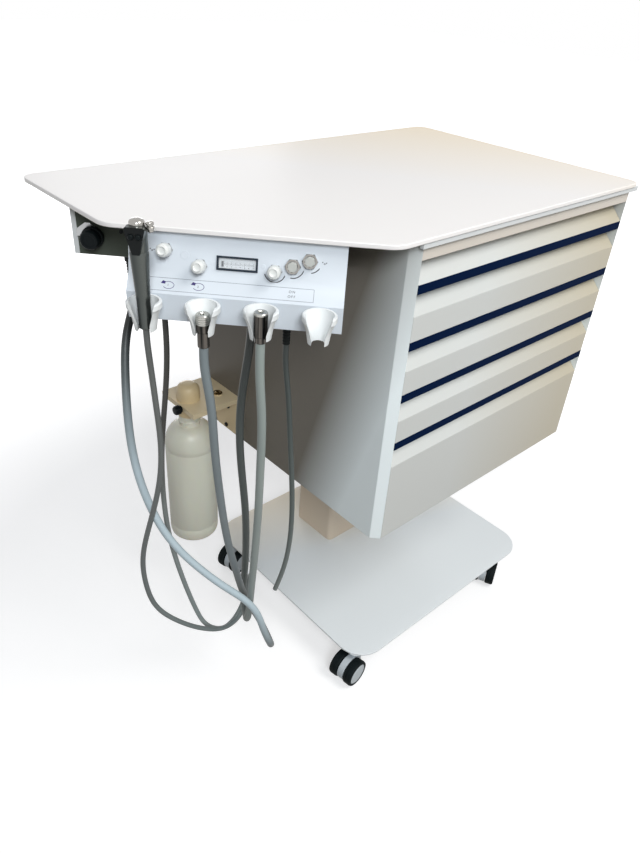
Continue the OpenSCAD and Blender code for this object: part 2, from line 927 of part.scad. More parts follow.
module gland(place, hose_d, sleeve_l)
    translate([place.x, place.y, box_foot])
    rotate([180, 0, 0])
    rotate_extrude() polygon([
        [0, 0], [nut_d / 2 - 1, 0], [nut_d / 2, 1], [nut_d / 2, nut_h - 1],
        [nut_d / 2 - 1, nut_h], [hose_d / 2 + 2, nut_h], [hose_d / 2 + 1, sleeve_l], [0, sleeve_l]
    ]);

sleeve_short = 30;
sleeve_2 = 36;
sleeve_4 = 76;

module glands() color(black) at_cabinet() {
    gland(gland_1, thin_hose, sleeve_short);
    gland(gland_2, thick_hose, sleeve_2);
    gland(gland_3, thick_hose, sleeve_short);
    gland(gland_4, thin_hose, sleeve_4);
}

// A tube swept along points, its rings turned as little as possible
module tube(points, d, sides) {
    n = len(points);
    ways = [
        for (i = [0 : n - 1])
            let (a = points[max(i - 1, 0)], b = points[min(i + 1, n - 1)])
            (b - a) / norm(b - a)
    ];
    start = cross(ways[0], [0, 1, 0]) / norm(cross(ways[0], [0, 1, 0]));
    turned = sides_of(ways, 0, start);
    rings = [
        for (i = [0 : n - 1])
            let (p = turned[i], q = cross(ways[i], turned[i]))
            for (k = [0 : sides - 1])
                points[i] + (p * cos(360 * k / sides) + q * sin(360 * k / sides)) * d / 2
    ];
    walls = [
        for (i = [0 : n - 2], k = [0 : sides - 1], half = [0, 1])
            let (a = i * sides + k, b = i * sides + (k + 1) % sides)
            half == 0 ? [a, a + sides, b] : [b, a + sides, b + sides]
    ];
    ends = [
        for (k = [1 : sides - 2], half = [0, 1])
            let (last = (n - 1) * sides)
            half == 0 ? [0, k, k + 1] : [last, last + k + 1, last + k]
    ];
    polyhedron(points = rings, faces = concat(walls, ends), convexity = 8);
}

function sides_of(ways, i, v) =
    i == len(ways) ? [] :
    let (s = i == 0 ? [0, 0, 0] : ways[i - 1] + ways[i])
    let (w = i == 0 ? v : v - s * (v * ways[i]) / (1 + ways[i - 1] * ways[i]))
    concat([w], sides_of(ways, i + 1, w));

// Plan point with a height
function up(p, z) = [p.x, p.y, z];

function connector_end(i) = up(plan(holder_places[i + 1], holder_v), holder_foot - connector_drops[i]);

syringe_end = up(plan(holder_places[0], holder_v), holder_foot + handle_seat);
syringe_way = [
    sin(syringe_lean) / root2,
    sin(syringe_lean) / root2,
    -cos(syringe_lean)
];

route_1 = concat([syringe_end, syringe_end + 16 * syringe_way], [
    [-260, 164, 670], [-258, 162, 616], [-256, 162, 560], [-259, 166, 503], [-268, 173, 450],
    [-277, 183, 400], [-283, 192, 345], [-281, 192, 290], [-268, 186, 239], [-240, 171, 202],
    [-202, 159, 169], [-166, 154, 152], [-139, 157, 154], [-120, 161, 170], [-109, 163, 194],
    [-99, 174, 204], [-92, 186, 200], [-91, 194, 176], [-101, 191, 148], [-119, 186, 124],
    [-146, 183, 112], [-176, 184, 131], [-201, 186, 186], [-221, 192, 275], [-231, 204, 360],
    [-231, 212, 440], [-226, 213, 520], [-217, 210, 600], [-212, 208, 670]
], [up(gland_1, box_foot - sleeve_short - 14), up(gland_1, box_foot - sleeve_short)]);

route_2 = concat([connector_end(0), connector_end(0) - [0, 0, 22]], [
    [-212, 114, 640], [-204, 118, 560], [-192, 124, 459], [-176, 129, 361], [-158, 133, 285],
    [-144, 132, 230], [-130, 125, 190], [-120, 116, 158], [-122, 98, 147], [-128, 83, 150],
    [-139, 73, 171], [-147, 79, 202], [-156, 86, 240], [-171, 96, 270], [-195, 113, 300],
    [-221, 139, 334], [-245, 164, 376], [-264, 190, 440], [-269, 211, 500], [-266, 226, 560],
    [-252, 249, 620], [-231, 272, 670]
], [up(gland_2, box_foot - sleeve_2 - 12), up(gland_2, box_foot - sleeve_2)]);

route_3 = concat([connector_end(1), connector_end(1) - [0, 0, 41]], [
    [-167, 69, 620], [-163, 74, 545], [-159, 83, 440], [-156, 94, 345], [-155, 103, 262],
    [-155, 108, 218], [-149, 121, 192], [-140, 136, 188], [-132, 152, 200], [-130, 154, 238],
    [-131, 148, 310], [-134, 146, 400], [-139, 151, 500], [-137, 151, 590], [-131, 144, 660]
], [up(gland_3, box_foot - sleeve_short - 20), up(gland_3, box_foot - sleeve_short)]);

route_4 = concat([up(gland_4, box_foot - sleeve_4), up(gland_4, box_foot - sleeve_4 - 20)], [
    [-102, 98, 620], [-97, 94, 540], [-93, 90, 460], [-92, 89, 360], [-98, 95, 290],
    [-106, 103, 245]
]);

module hose(points, d)
    color(hose_grey)
    at_cabinet()
    tube(points, d, 10);

// ---- bottle ----

bottle_y = cab_d - 47;
bottle_top = bracket_z - 6;
neck_l = 45;
bottle_foot = bottle_top - bottle_h - neck_l;
cap_d = neck_d + 4.4;
waist_r = neck_d / 2 - 0.5;

module at_bottle() at_cabinet() translate([-bottle_out, bottle_y, 0]) children();

// Blown bottle: waved foot, straight side, round shoulder and an open neck
module bottle() {
    r = bottle_d / 2;
    neck_r = neck_d / 2;
    shoulder = 40;
    side_top = bottle_foot + bottle_h - shoulder;
    arc = [
        for (a = [0 : 15 : 75])
            [neck_r + 2 + (r - neck_r - 2) * cos(a), side_top + shoulder * sin(a)]
    ];
    outer = concat(
        [[0, bottle_foot + 5], [r * 0.55, bottle_foot + 5], [r * 0.72, bottle_foot],
            [r - 8, bottle_foot], [r - 2, bottle_foot + 4], [r, bottle_foot + 14]],
        arc,
        [[neck_r, side_top + shoulder], [neck_r, bottle_top]]
    );
    inner = concat(
        [[neck_r - bottle_wall, bottle_top], [neck_r - bottle_wall, side_top + shoulder]],
        [for (k = [len(arc) - 1 : -1 : 0]) arc[k] - [bottle_wall, bottle_wall / 2]],
        [[r - bottle_wall, bottle_foot + 15], [r - 9, bottle_foot + 7], [0, bottle_foot + 7]]
    );
    color([0.86, 0.86, 0.8]) at_bottle()
        rotate_extrude($fn = 72)
        polygon(concat(outer, inner));
}

// Cap under the plate, dome over it and the pickup tube down the bottle
module bottle_cap() {
    r = cap_d / 2;
    dome_r = neck_d / 2 + 2;
    dome_top = bracket_z + 30;
    skirt = bottle_top - 24;
    color([0.9, 0.86, 0.76]) at_bottle() {
        rotate_extrude($fn = 72) polygon([
            [neck_d / 2 + play, skirt], [r, skirt], [r, bracket_z - bracket_t],
            [waist_r, bracket_z - bracket_t], [waist_r, bracket_z],
            [dome_r, bracket_z], [dome_r, bracket_z + 16], [dome_r - 2, bracket_z + 23],
            [dome_r - 7, dome_top - 2], [dome_r - 13, dome_top], [0, dome_top],
            [0, bottle_top + play], [neck_d / 2 + play, bottle_top + play]
        ]);
        difference() {
            cylinder_from(bottle_foot + 20, bottle_top + 3, 6);
            cylinder_from(bottle_foot + 19, bottle_top, 4);
        }
    }
}

fitting = [-23, bottle_y - 17];
fitting_d = 19;
fitting_bore = 9;
bracket_t = 2;
bracket_lip = 9;
bracket_reach = bottle_out + cap_d / 2 + bracket_t + 1.8;
bracket_knob_y = bottle_y - 15;
bracket_knob_z = bracket_z - bracket_lip + 3.5;
bracket_shaft_d = 3;

// Plate over the neck with turned-down edges, and a flange on the cabinet's side
module bottle_bracket() {
    front = bottle_y - 52;
    back = bottle_y + 46;
    low = bracket_z - bracket_lip;
    flange = rounded(
        box_outline(bottle_y - 49, cab_bottom + 2, bottle_y + 18, bracket_z),
        [10, 10, 0.1, 0.1]
    );
    color([0.88, 0.84, 0.75]) at_cabinet() {
        difference() {
            union() {
                block(-bracket_reach, front, bracket_z - bracket_t, 0, back, bracket_z);
                block(-bracket_reach, front, low, -bracket_t, front + bracket_t, bracket_z);
                block(-bracket_reach, front, low, bracket_t - bracket_reach, back, bracket_z);
            }
            translate([-bottle_out, bottle_y, low])
                cylinder(r = waist_r + play / 2, h = 2 * bracket_lip);
            translate([fitting.x, fitting.y, low]) cylinder(d = fitting_bore, h = 2 * bracket_lip);
            translate([-bracket_reach - 1, bracket_knob_y, bracket_knob_z])
                rotate([0, 90, 0])
                cylinder_from(0, bracket_t + 2, bracket_shaft_d + 2 * run_gap);
        }
        translate([-bracket_t, 0, 0]) rotate([90, 0, 90]) linear_extrude(bracket_t) polygon(flange);
        translate([fitting.x, fitting.y, bracket_z - bracket_t]) difference() {
            cylinder(d = fitting_d, h = 2 * bracket_t);
            translate([0, 0, -1]) cylinder(d = fitting_bore, h = 3 * bracket_t);
        }
    }
}

// Black thumb knob on the outer edge of the plate
module bracket_knob()
    color(black)
    at_cabinet()
    translate([-bracket_reach, bracket_knob_y, bracket_knob_z])
    rotate([0, -90, 0]) {
        cylinder_from(-bracket_t - 1, 2, bracket_shaft_d);
        translate([0, 0, play]) rotate_extrude() polygon([
            [0, 0], [6, 0], [6, 2], [8, 4], [8, 12], [6.5, 14], [0, 14]
        ]);
    }

// ---- assembly ----

worktop();
top_frame();
top_rail();
side_left();
side_right();
back_and_floor();
runners();
tray(0);  // tray_1
tray(1);  // tray_2
tray(2);  // tray_3
tray(3);  // tray_4
tray(4);  // tray_5
front(0);  // front_1
front(1);  // front_2
front(2);  // front_3
front(3);  // front_4
front(4);  // front_5
strip(0);  // strip_1
strip(1);  // strip_2
strip(2);  // strip_3
strip(3);  // strip_4
column();
base_plate();
caster(0);  // caster_1
caster(1);  // caster_2
caster(2);  // caster_3
caster(3);  // caster_4
wheels(0);  // wheels_1
wheels(1);  // wheels_2
wheels(2);  // wheels_3
wheels(3);  // wheels_4
control_housing();
control_panel();
side_plate();
side_bracket();
pressure_knob();
gauge();
gauge_pointer();
valve_knob(0);  // valve_knob_1
valve_knob(1);  // valve_knob_2
valve_knob(2);  // valve_knob_3
bezels();
regulator_knob(0);  // regulator_knob_1
regulator_knob(1);  // regulator_knob_2
holders();
syringe();
nozzle();
syringe_button(0);  // syringe_button_1
syringe_button(1);  // syringe_button_2
connector_1();
connector_2();
glands();
hose(route_1, thin_hose);  // hose_1
hose(route_2, thick_hose);  // hose_2
hose(route_3, thick_hose);  // hose_3
hose(route_4, thin_hose);  // hose_4
bottle();
bottle_cap();
bottle_bracket();
bracket_knob();
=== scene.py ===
import math

import bmesh
import bpy
import numpy as np
from mathutils import Matrix, Vector


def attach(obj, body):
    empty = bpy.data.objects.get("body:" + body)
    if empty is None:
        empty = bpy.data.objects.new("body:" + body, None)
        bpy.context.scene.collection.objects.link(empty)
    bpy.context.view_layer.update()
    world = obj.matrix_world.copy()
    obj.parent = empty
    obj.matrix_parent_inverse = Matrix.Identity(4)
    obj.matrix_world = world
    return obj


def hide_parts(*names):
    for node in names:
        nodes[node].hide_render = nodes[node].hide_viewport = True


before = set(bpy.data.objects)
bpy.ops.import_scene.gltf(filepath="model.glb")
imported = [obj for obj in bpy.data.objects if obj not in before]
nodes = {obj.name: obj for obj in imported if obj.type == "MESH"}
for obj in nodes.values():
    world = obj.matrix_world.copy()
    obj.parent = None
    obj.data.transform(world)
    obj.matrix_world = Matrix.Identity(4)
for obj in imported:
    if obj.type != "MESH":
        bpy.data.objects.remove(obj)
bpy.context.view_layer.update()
print("frame loaded,", len(nodes), "nodes")

# ---- places: everything is drawn in millimetres and brought into the frame ----

def shift(x, y, z):
    return Matrix.Translation((x, y, z))


def turn(degrees, axis):
    return Matrix.Rotation(math.radians(degrees), 4, axis)


panelFold = {
    "corner": (-38, -8, 0),  # front end of the worktop's 45 degree cut
    "middle": 181,  # from there along the cut to the middle of the panel
    "face": (8, 816),  # top edge of the leaning face: inwards, height
    "faceRun": (11, 39),  # the face comes out 11 and goes down 39
    "band": (-3, 777),  # top edge of the label band
    "bandRun": (18, 16),  # the band goes down 18 and comes out 16
    "side": (-124, 80, 0),  # left end of the panel, 80 inwards
    "holders": -39,  # axis of the holders, outwards
    "syringe": (-98.25, 725),  # along the panel, height of its foot
}

cabinet = Matrix.Scale(0.001, 4) @ shift(-114.5, -220.5, 0)  # from the cabinet's front left foot
panelPlace = cabinet @ shift(*panelFold["corner"]) @ turn(-45, "Z") @ shift(-panelFold["middle"], 0, 0)
sidePlace = panelPlace @ shift(*panelFold["side"])
syringeAlong, syringeSeat = panelFold["syringe"]
syringePlace = panelPlace @ shift(syringeAlong, panelFold["holders"], syringeSeat) @ turn(1, "X")
faceTilt = math.degrees(math.atan2(*panelFold["faceRun"]))
bandTilt = math.degrees(math.atan2(*panelFold["bandRun"]))


def onFace(u, s):  # leaning face that holds the knobs, s down from its top edge
    lean = math.radians(faceTilt)
    inwards, height = panelFold["face"]
    foot = shift(u, inwards - s * math.sin(lean), height - s * math.cos(lean))
    return panelPlace @ foot @ turn(90 - faceTilt, "X")


def onBand(u, t):  # label band under the leaning face, t down from its top edge
    lean = math.radians(bandTilt)
    inwards, height = panelFold["band"]
    foot = shift(u, inwards - t * math.cos(lean), height - t * math.sin(lean))
    return panelPlace @ foot @ turn(bandTilt, "X")


# ---- camera ----

cameraView = {
    "place": (-0.723962, -0.712678, 1.082726),
    "yaw": 0.7690376,
    "pitch": -0.5887339,
    "roll": 0.0758176,
    "lens": 29.3115,
}


def aimCamera(view):
    yaw, pitch, roll = view["yaw"], view["pitch"], view["roll"]
    ahead = Vector((math.sin(yaw) * math.cos(pitch), math.cos(yaw) * math.cos(pitch), math.sin(pitch)))
    level = Vector((math.cos(yaw), -math.sin(yaw), 0))
    upright = level.cross(ahead)
    across = level * math.cos(roll) + upright * math.sin(roll)
    above = upright * math.cos(roll) - level * math.sin(roll)
    lens = bpy.data.cameras.new("camera")
    lens.lens, lens.sensor_width, lens.clip_start = view["lens"], 36, 0.02
    camera = bpy.data.objects.new("camera", lens)
    camera.matrix_world = shift(*view["place"]) @ Matrix((across, above, -ahead)).transposed().to_4x4()
    bpy.context.scene.collection.objects.link(camera)
    bpy.context.scene.camera = camera


aimCamera(cameraView)
print("camera stands")


# ---- node trees ----

class Wire:
    # one socket of a tree, so that sums on it read as plain arithmetic
    def __init__(self, graph, socket):
        self.graph, self.socket = graph, socket

    def maths(self, operation, *values):
        return self.graph.add("ShaderNodeMath", {"operation": operation}, dict(enumerate(values)))

    def __add__(self, other):
        return self.maths("ADD", self, other)

    def __sub__(self, other):
        return self.maths("SUBTRACT", self, other)

    def __rsub__(self, other):
        return self.maths("SUBTRACT", other, self)

    def __mul__(self, other):
        return self.maths("MULTIPLY", self, other)

    __radd__, __rmul__ = __add__, __mul__


class Graph:
    def __init__(self, tree):
        self.tree = tree
        tree.nodes.clear()

    def add(self, kind, settings=None, inputs=None, out=0):
        node = self.tree.nodes.new(kind)
        for name, value in (settings or {}).items():
            if name == "stops":
                ends = node.color_ramp.elements
                ends[0].position, ends[0].color = value[0]
                ends[1].position, ends[1].color = value[-1]
                for position, colour in value[1:-1]:
                    ends.new(position).color = colour
            else:
                setattr(node, name, value)
        for key, value in (inputs or {}).items():
            if isinstance(value, Wire):
                self.tree.links.new(value.socket, node.inputs[key])
            else:
                node.inputs[key].default_value = value
        return Wire(self, node.outputs[out]) if node.outputs else None


def ink(red, green, blue):  # a colour as it is seen, 0 to 255, made linear
    seen = (red, green, blue)
    return tuple(((c / 255 + 0.055) / 1.055) ** 2.4 if c > 10 else c / 3295 for c in seen) + (1.0,)


class Finish(Graph):
    def __init__(self, name, **fixed):
        self.material = bpy.data.materials.new(name)
        self.material.use_nodes = True
        super().__init__(self.material.node_tree)
        self.place = self.add("ShaderNodeTexCoord", out="Object")
        inputs = {key.replace("_", " "): value for key, value in fixed.items()}
        self.shader = self.add("ShaderNodeBsdfPrincipled", inputs=inputs)
        self.add("ShaderNodeOutputMaterial", inputs={"Surface": self.shader})

    def feed(self, **values):
        sockets = self.shader.socket.node.inputs
        for key, value in values.items():
            self.tree.links.new(value.socket, sockets[key.replace("_", " ")])
        return self

    def noise(self, scale, detail=3, stretch=(1, 1, 1)):
        place = self.place
        if stretch != (1, 1, 1):
            place = self.add("ShaderNodeMapping", inputs={"Vector": place, "Scale": stretch})
        return self.add("ShaderNodeTexNoise", inputs={"Vector": place, "Scale": scale, "Detail": detail})

    def along(self, axis):
        return self.add("ShaderNodeSeparateXYZ", inputs={0: self.place}, out=axis)

    def ramp(self, value, low, high):  # 0 below low, 1 above high
        return self.add("ShaderNodeMapRange", {"clamp": True}, {0: value, 1: low, 2: high})

    def tint(self, factor, start, end):
        return self.add("ShaderNodeMix", {"data_type": "RGBA"}, {0: factor, 6: start, 7: end}, out=2)

    def relief(self, height, depth):
        return self.add("ShaderNodeBump", inputs={"Height": height, "Distance": depth})

    def fade(self, value, low, high, far):  # painted light and shade: from the paint's own tone to another
        self.feed(Base_Color=self.tint(self.ramp(value, low, high), self.tone, far))


def shade(colour, share):
    return tuple(min(1, c * share) for c in colour[:3]) + (1.0,)


def coated(name, colour, roughness=0.4, cloudy=0.05, grain=420, peel=2e-5, **fixed):
    # paint or moulded plastic: faint clouds, orange peel and an uneven gloss
    finish = Finish(name, **fixed)
    cloud, fine = finish.noise(6, 5), finish.noise(grain, 2)
    finish.tone = finish.tint(cloud, shade(colour, 1 - cloudy), shade(colour, 1 + cloudy))
    finish.feed(
        Base_Color=finish.tone,
        Roughness=roughness + (cloud - 0.5) * 0.12 + (fine - 0.5) * 0.06,
        Normal=finish.relief(fine, peel),
    )
    return finish


def brushed(name, colour, roughness, stretch, grain=900):
    # metal with fine lines that run along one way
    finish = Finish(name, Metallic=1.0)
    lines, cloud = finish.noise(grain, 2, stretch), finish.noise(25, 3)
    finish.feed(
        Base_Color=finish.tint(cloud, shade(colour, 0.86), shade(colour, 1.08)),
        Roughness=roughness + (lines - 0.5) * 0.16 + (cloud - 0.5) * 0.1,
        Normal=finish.relief(lines, 1e-5),
    )
    return finish


dull = {"Specular_IOR_Level": 0.1}
worktopPaintedWarmLight = coated("worktopPaintedWarmLight", ink(243, 240, 239), 0.38, 0.01, 300)
# painted warm light: the worktop's white turns cream towards the back right
worktopPaintedWarmLight.fade(worktopPaintedWarmLight.along(0) + worktopPaintedWarmLight.along(1) * 0.8, 0.05, 0.75, ink(250, 230, 194))
whitePaint = coated("whitePaint", ink(216, 219, 220), 0.42, 0.015, Specular_IOR_Level=0.3)
# painted light and shadow: bright bluish white towards the front and bottom, darkening to brown-grey
# towards the back and top where the worktop's overhang casts its shadow
sidePaintedShadow = coated("sidePaintedShadow", ink(244, 252, 255), 0.45, 0.015, Specular_IOR_Level=0.3)
sidePaintedShadow.fade(sidePaintedShadow.along(1) + sidePaintedShadow.along(2) * 0.3, -0.03, 0.08, ink(112, 107, 99))
panelPaint = coated("panelPaint", ink(214, 221, 229), 0.36, 0.01, Specular_IOR_Level=0.35)
railBeige = coated("railBeige", ink(212, 204, 194), 0.4, 0.02)
frontPaint = coated("frontPaint", ink(203, 205, 203), 0.35, 0.015)
# painted shade: the fronts turn darker and warmer towards the right
frontPaint.fade(frontPaint.along(0), 0.05, 0.36, ink(190, 182, 162))
navyTrim = coated("navyTrim", ink(2, 22, 54), 0.6, 0.1, 700, Specular_IOR_Level=0.02)
platePaintedWarmLight = coated("platePaintedWarmLight", ink(228, 233, 236), 0.4, 0.015)
# painted warm light: the plate turns cream towards the back, by the column
platePaintedWarmLight.fade(platePaintedWarmLight.along(1) + platePaintedWarmLight.along(0) * 0.3, 0.05, 0.25, ink(240, 230, 210))
creamPaint = coated("creamPaint", ink(214, 198, 178), 0.4, 0.03)
bracketCream = coated("bracketCream", ink(222, 204, 168), 0.45, 0.05)
zinc = brushed("zinc", ink(176, 178, 180), 0.35, (1, 0.03, 1))
casterGrey = coated("casterGrey", ink(188, 196, 202), 0.4, 0.04)
tyreRubber = coated("tyreRubber", ink(12, 20, 22), 0.6, 0.15, 900, 4e-5, **dull)
# painted shade: the side plate at the housing's left end is dark grey-brown for the shade it lies in
paintedShadePlate = coated("paintedShadePlate", ink(80, 86, 78), 0.5, 0.12, 500, 1e-5, **dull)
blackPlastic = coated("blackPlastic", ink(14, 20, 22), 0.4, 0.1, 700, **dull)
gaugeDark = coated("gaugeDark", ink(44, 52, 62), 0.35, 0.06, 600, **dull)
knobWhite = coated("knobWhite", ink(226, 228, 226), 0.3, 0.03, 600)
knobGrey = coated("knobGrey", ink(186, 188, 184), 0.25, 0.08, 600)
chrome = brushed("chrome", ink(168, 166, 162), 0.14, (1, 1, 0.1), 500)
brass = brushed("brass", ink(120, 98, 60), 0.3, (1, 1, 0.1), 500)
holderWhite = coated("holderWhite", ink(236, 239, 240), 0.3, 0.02, 500)
cuffBlack = coated("cuffBlack", ink(20, 24, 24), 0.5, 0.12, 800, **dull)
bottleNatural = coated("bottleNatural", ink(236, 228, 210), 0.38, 0.03, 500, 3e-5, Subsurface_Weight=0.15)
capCream = coated("capCream", ink(222, 200, 158), 0.4, 0.04)
scaleWhite = coated("scaleWhite", ink(240, 244, 248), 0.5, 0.02)
gaugeGlass = Finish("gaugeGlass", Base_Color=(0.8, 0.85, 0.9, 1), Alpha=0.12)
gaugeGlass.feed(Roughness=0.05 + gaugeGlass.noise(60) * 0.06)
blackInk = coated("blackInk", ink(30, 32, 42), 0.45, 0.1)
greyInk = coated("greyInk", ink(126, 130, 142), 0.45, 0.1)
wordInk = coated("wordInk", ink(52, 52, 64), 0.45, 0.1)
purpleInk = coated("purpleInk", ink(52, 40, 104), 0.45, 0.1)


def coupled(name, level):
    # coupling: chrome body darkened as a painted reflection of dark surroundings, with upright light and
    # dark streaks as painted highlights and reflections; bright above the level where its rings begin
    finish = Finish(name, Metallic=1.0)
    streaks, cloud = finish.noise(260, 2, (1, 1, 0.02)), finish.noise(30, 3)
    dark = finish.tint(finish.ramp(streaks, 0.4, 0.62), ink(26, 28, 28), ink(96, 92, 88))
    bright = finish.ramp(finish.along(2), level - 0.0004, level + 0.0004)
    finish.feed(
        Base_Color=finish.tint(bright, dark, ink(176, 176, 172)),
        Roughness=0.22 + (cloud - 0.5) * 0.1,
        Normal=finish.relief(streaks, 1e-5),
    )
    return finish


def steeled(name):
    # syringe: brushed steel with a painted reflection, darker on its left and lighter on its right; faces
    # marked as shield are black plastic
    finish = Finish(name, Specular_IOR_Level=0.2)
    lines, cloud = finish.noise(700, 2, (1, 1, 0.04)), finish.noise(25, 3)
    shield = finish.add("ShaderNodeAttribute", {"attribute_name": "shield"}, out="Fac")
    # painted reflection: the steel darkens towards its left
    side = finish.ramp(finish.along(0) - finish.along(1), -0.334, -0.312)
    steel = finish.tint(side, ink(36, 42, 44), ink(92, 96, 94))
    finish.feed(
        Base_Color=finish.tint(shield, steel, ink(8, 12, 13)),
        Metallic=1 - shield,
        Roughness=0.3 + shield * 0.3 + (lines - 0.5) * 0.14 + (cloud - 0.5) * 0.08,
        Normal=finish.relief(lines, 1e-5),
    )
    return finish


def sleeved(name, stops):
    # hose: its grey changes along its length, from the instrument up to the housing, with painted shade
    # near the housing and painted highlights on the lit stretches
    finish = Finish(name, Specular_IOR_Level=0.4)
    along = finish.add("ShaderNodeAttribute", {"attribute_name": "along"}, out="Fac")
    fine, cloud = finish.noise(900, 2), finish.noise(9, 4)
    ends = [(at, ink(*colour)) for at, colour in stops]
    tone = finish.add("ShaderNodeValToRGB", {"stops": ends}, {0: along})
    finish.feed(
        Base_Color=finish.tint(cloud * 0.25, tone, ink(70, 78, 80)),
        Roughness=0.4 + (cloud - 0.5) * 0.14,
        Normal=finish.relief(fine, 1e-5),
    )
    return finish


print("finishes made,", len(bpy.data.materials))


# ---- mesh helpers ----

def toMesh(name, work, place, smooth=35):
    bmesh.ops.remove_doubles(work, verts=work.verts, dist=1e-5)
    bmesh.ops.recalc_face_normals(work, faces=work.faces)
    work.transform(place)
    mesh = bpy.data.meshes.new(name)
    work.to_mesh(mesh)
    work.free()
    return smoothed(mesh, smooth)


def smoothed(mesh, angle=35):
    mesh.polygons.foreach_set("use_smooth", [True] * len(mesh.polygons))
    mesh.set_sharp_from_angle(angle=math.radians(angle))
    return mesh


def turned(name, profile, place, sides=48, smooth=35, closed=False):
    # profile is (radius, height) from the axis; closed joins its last point to the first
    work = bmesh.new()
    rings = []
    for radius, height in profile:
        count = sides if radius > 1e-6 else 1
        angles = [2 * math.pi * k / sides for k in range(count)]
        rings.append([work.verts.new((radius * math.cos(a), radius * math.sin(a), height)) for a in angles])
    for low, high in zip(rings, rings[1:] + (rings[:1] if closed else [])):
        for k in range(sides):
            corners = [low[k % len(low)], low[(k + 1) % sides % len(low)]]
            corners += [high[(k + 1) % sides % len(high)], high[k % len(high)]]
            corners = list(dict.fromkeys(corners))
            if len(corners) > 2:
                work.faces.new(corners)
    return toMesh(name, work, place, smooth)


def slab(name, outline, low, high, place):
    work = bmesh.new()
    foot = [work.verts.new((x, y, low)) for x, y in outline]
    top = [work.verts.new((x, y, high)) for x, y in outline]
    work.faces.new(foot[::-1])
    work.faces.new(top)
    for k in range(len(outline)):
        j = (k + 1) % len(outline)
        work.faces.new((foot[k], foot[j], top[j], top[k]))
    return toMesh(name, work, place)


def boxed(x0, y0, x1, y1):
    return [(x0, y0), (x1, y0), (x1, y1), (x0, y1)]


def rounded(outline, radii, steps=24):
    # outline runs anticlockwise; each corner gets its own radius
    points = []
    for i, corner in enumerate(outline):
        before, after = Vector(outline[i - 1]), Vector(outline[(i + 1) % len(outline)])
        corner = Vector(corner)
        way, onward = (corner - before).normalized(), (after - corner).normalized()
        n, m = Vector((-way.y, way.x)), Vector((-onward.y, onward.x))
        middle = corner + (n + m) * radii[i] / (1 + n.dot(m))
        start, sweep = math.atan2(-n.y, -n.x), math.acos(max(-1, min(1, n.dot(m))))
        for k in range(steps + 1):
            angle = start + sweep * k / steps
            points.append((middle.x + radii[i] * math.cos(angle), middle.y + radii[i] * math.sin(angle)))
    return points


def baked(mesh, setUp):
    # gives the mesh modifiers, takes the result as a plain mesh
    holder = bpy.data.objects.new("holder", mesh)
    bpy.context.scene.collection.objects.link(holder)
    setUp(holder)
    result = bpy.data.meshes.new_from_object(holder.evaluated_get(bpy.context.evaluated_depsgraph_get()))
    bpy.data.objects.remove(holder)
    return result


def eased(mesh, width, segments=2, angle=30):
    def setUp(holder):
        bevel = holder.modifiers.new("bevel", "BEVEL")
        bevel.width, bevel.segments = width * 0.001, segments
        bevel.limit_method, bevel.angle_limit = "ANGLE", math.radians(angle)
        holder.modifiers.new("weights", "WEIGHTED_NORMAL").keep_sharp = True

    return baked(smoothed(mesh, 50), setUp)


def copied(node):
    work = bmesh.new()
    work.from_mesh(nodes[node].data)
    bmesh.ops.remove_doubles(work, verts=work.verts, dist=1e-6)
    bmesh.ops.dissolve_limit(work, angle_limit=math.radians(0.4), verts=work.verts, edges=work.edges)
    mesh = bpy.data.meshes.new(node)
    work.to_mesh(mesh)
    work.free()
    return mesh


def put(name, mesh, body, finish, stands=()):
    piece = bpy.data.objects.new(name, mesh)
    bpy.context.scene.collection.objects.link(piece)
    mesh.materials.clear()
    mesh.materials.append(finish.material)
    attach(piece, body)
    if stands:
        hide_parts(*stands)
    return piece


def soften(node, body, finish, width=0.5, segments=2):
    return put(node + "Eased", eased(copied(node), width, segments), body, finish, (node,))


def dress(node, finish):
    piece = nodes[node]
    piece.data.materials.clear()
    piece.data.materials.append(finish.material)


printLow, printHigh = -0.05, 0.06  # print goes from below its sheet to just over it


def stroke(name, points, width, place, closed=False):
    # a printed line: a thin ribbon
    work = bmesh.new()
    count = len(points)
    rows = []
    for i, point in enumerate(points):
        a = Vector(points[i - 1] if i or closed else points[i])
        b = Vector(points[(i + 1) % count] if i < count - 1 or closed else points[i])
        way = (b - a).normalized()
        side = Vector((-way.y, way.x)) * width / 2
        middle = Vector(point)
        section = [(-1, printLow), (1, printLow), (1, printHigh), (-1, printHigh)]
        rows.append([work.verts.new((*(middle + side * k), h)) for k, h in section])
    for i in range(count if closed else count - 1):
        j = (i + 1) % count
        for k in range(4):
            work.faces.new((rows[i][k], rows[i][(k + 1) % 4], rows[j][(k + 1) % 4], rows[j][k]))
    if not closed:
        work.faces.new(rows[0])
        work.faces.new(rows[-1][::-1])
    return toMesh(name, work, place)


def lettered(text, height, place, spacing=1.0):
    curve = bpy.data.curves.new("text", "FONT")
    curve.body, curve.size, curve.space_character = text, height * 1.4, spacing
    curve.align_x, curve.align_y, curve.extrude = "CENTER", "CENTER", printHigh
    holder = bpy.data.objects.new("text", curve)
    mesh = bpy.data.meshes.new_from_object(holder)
    bpy.data.objects.remove(holder)
    mesh.transform(place)
    return mesh


def joined(name, meshes):
    work = bmesh.new()
    for mesh in meshes:
        work.from_mesh(mesh)
    result = bpy.data.meshes.new(name)
    work.to_mesh(result)
    work.free()
    return smoothed(result)


# ---- growers: small geometry trees for what repeats ----

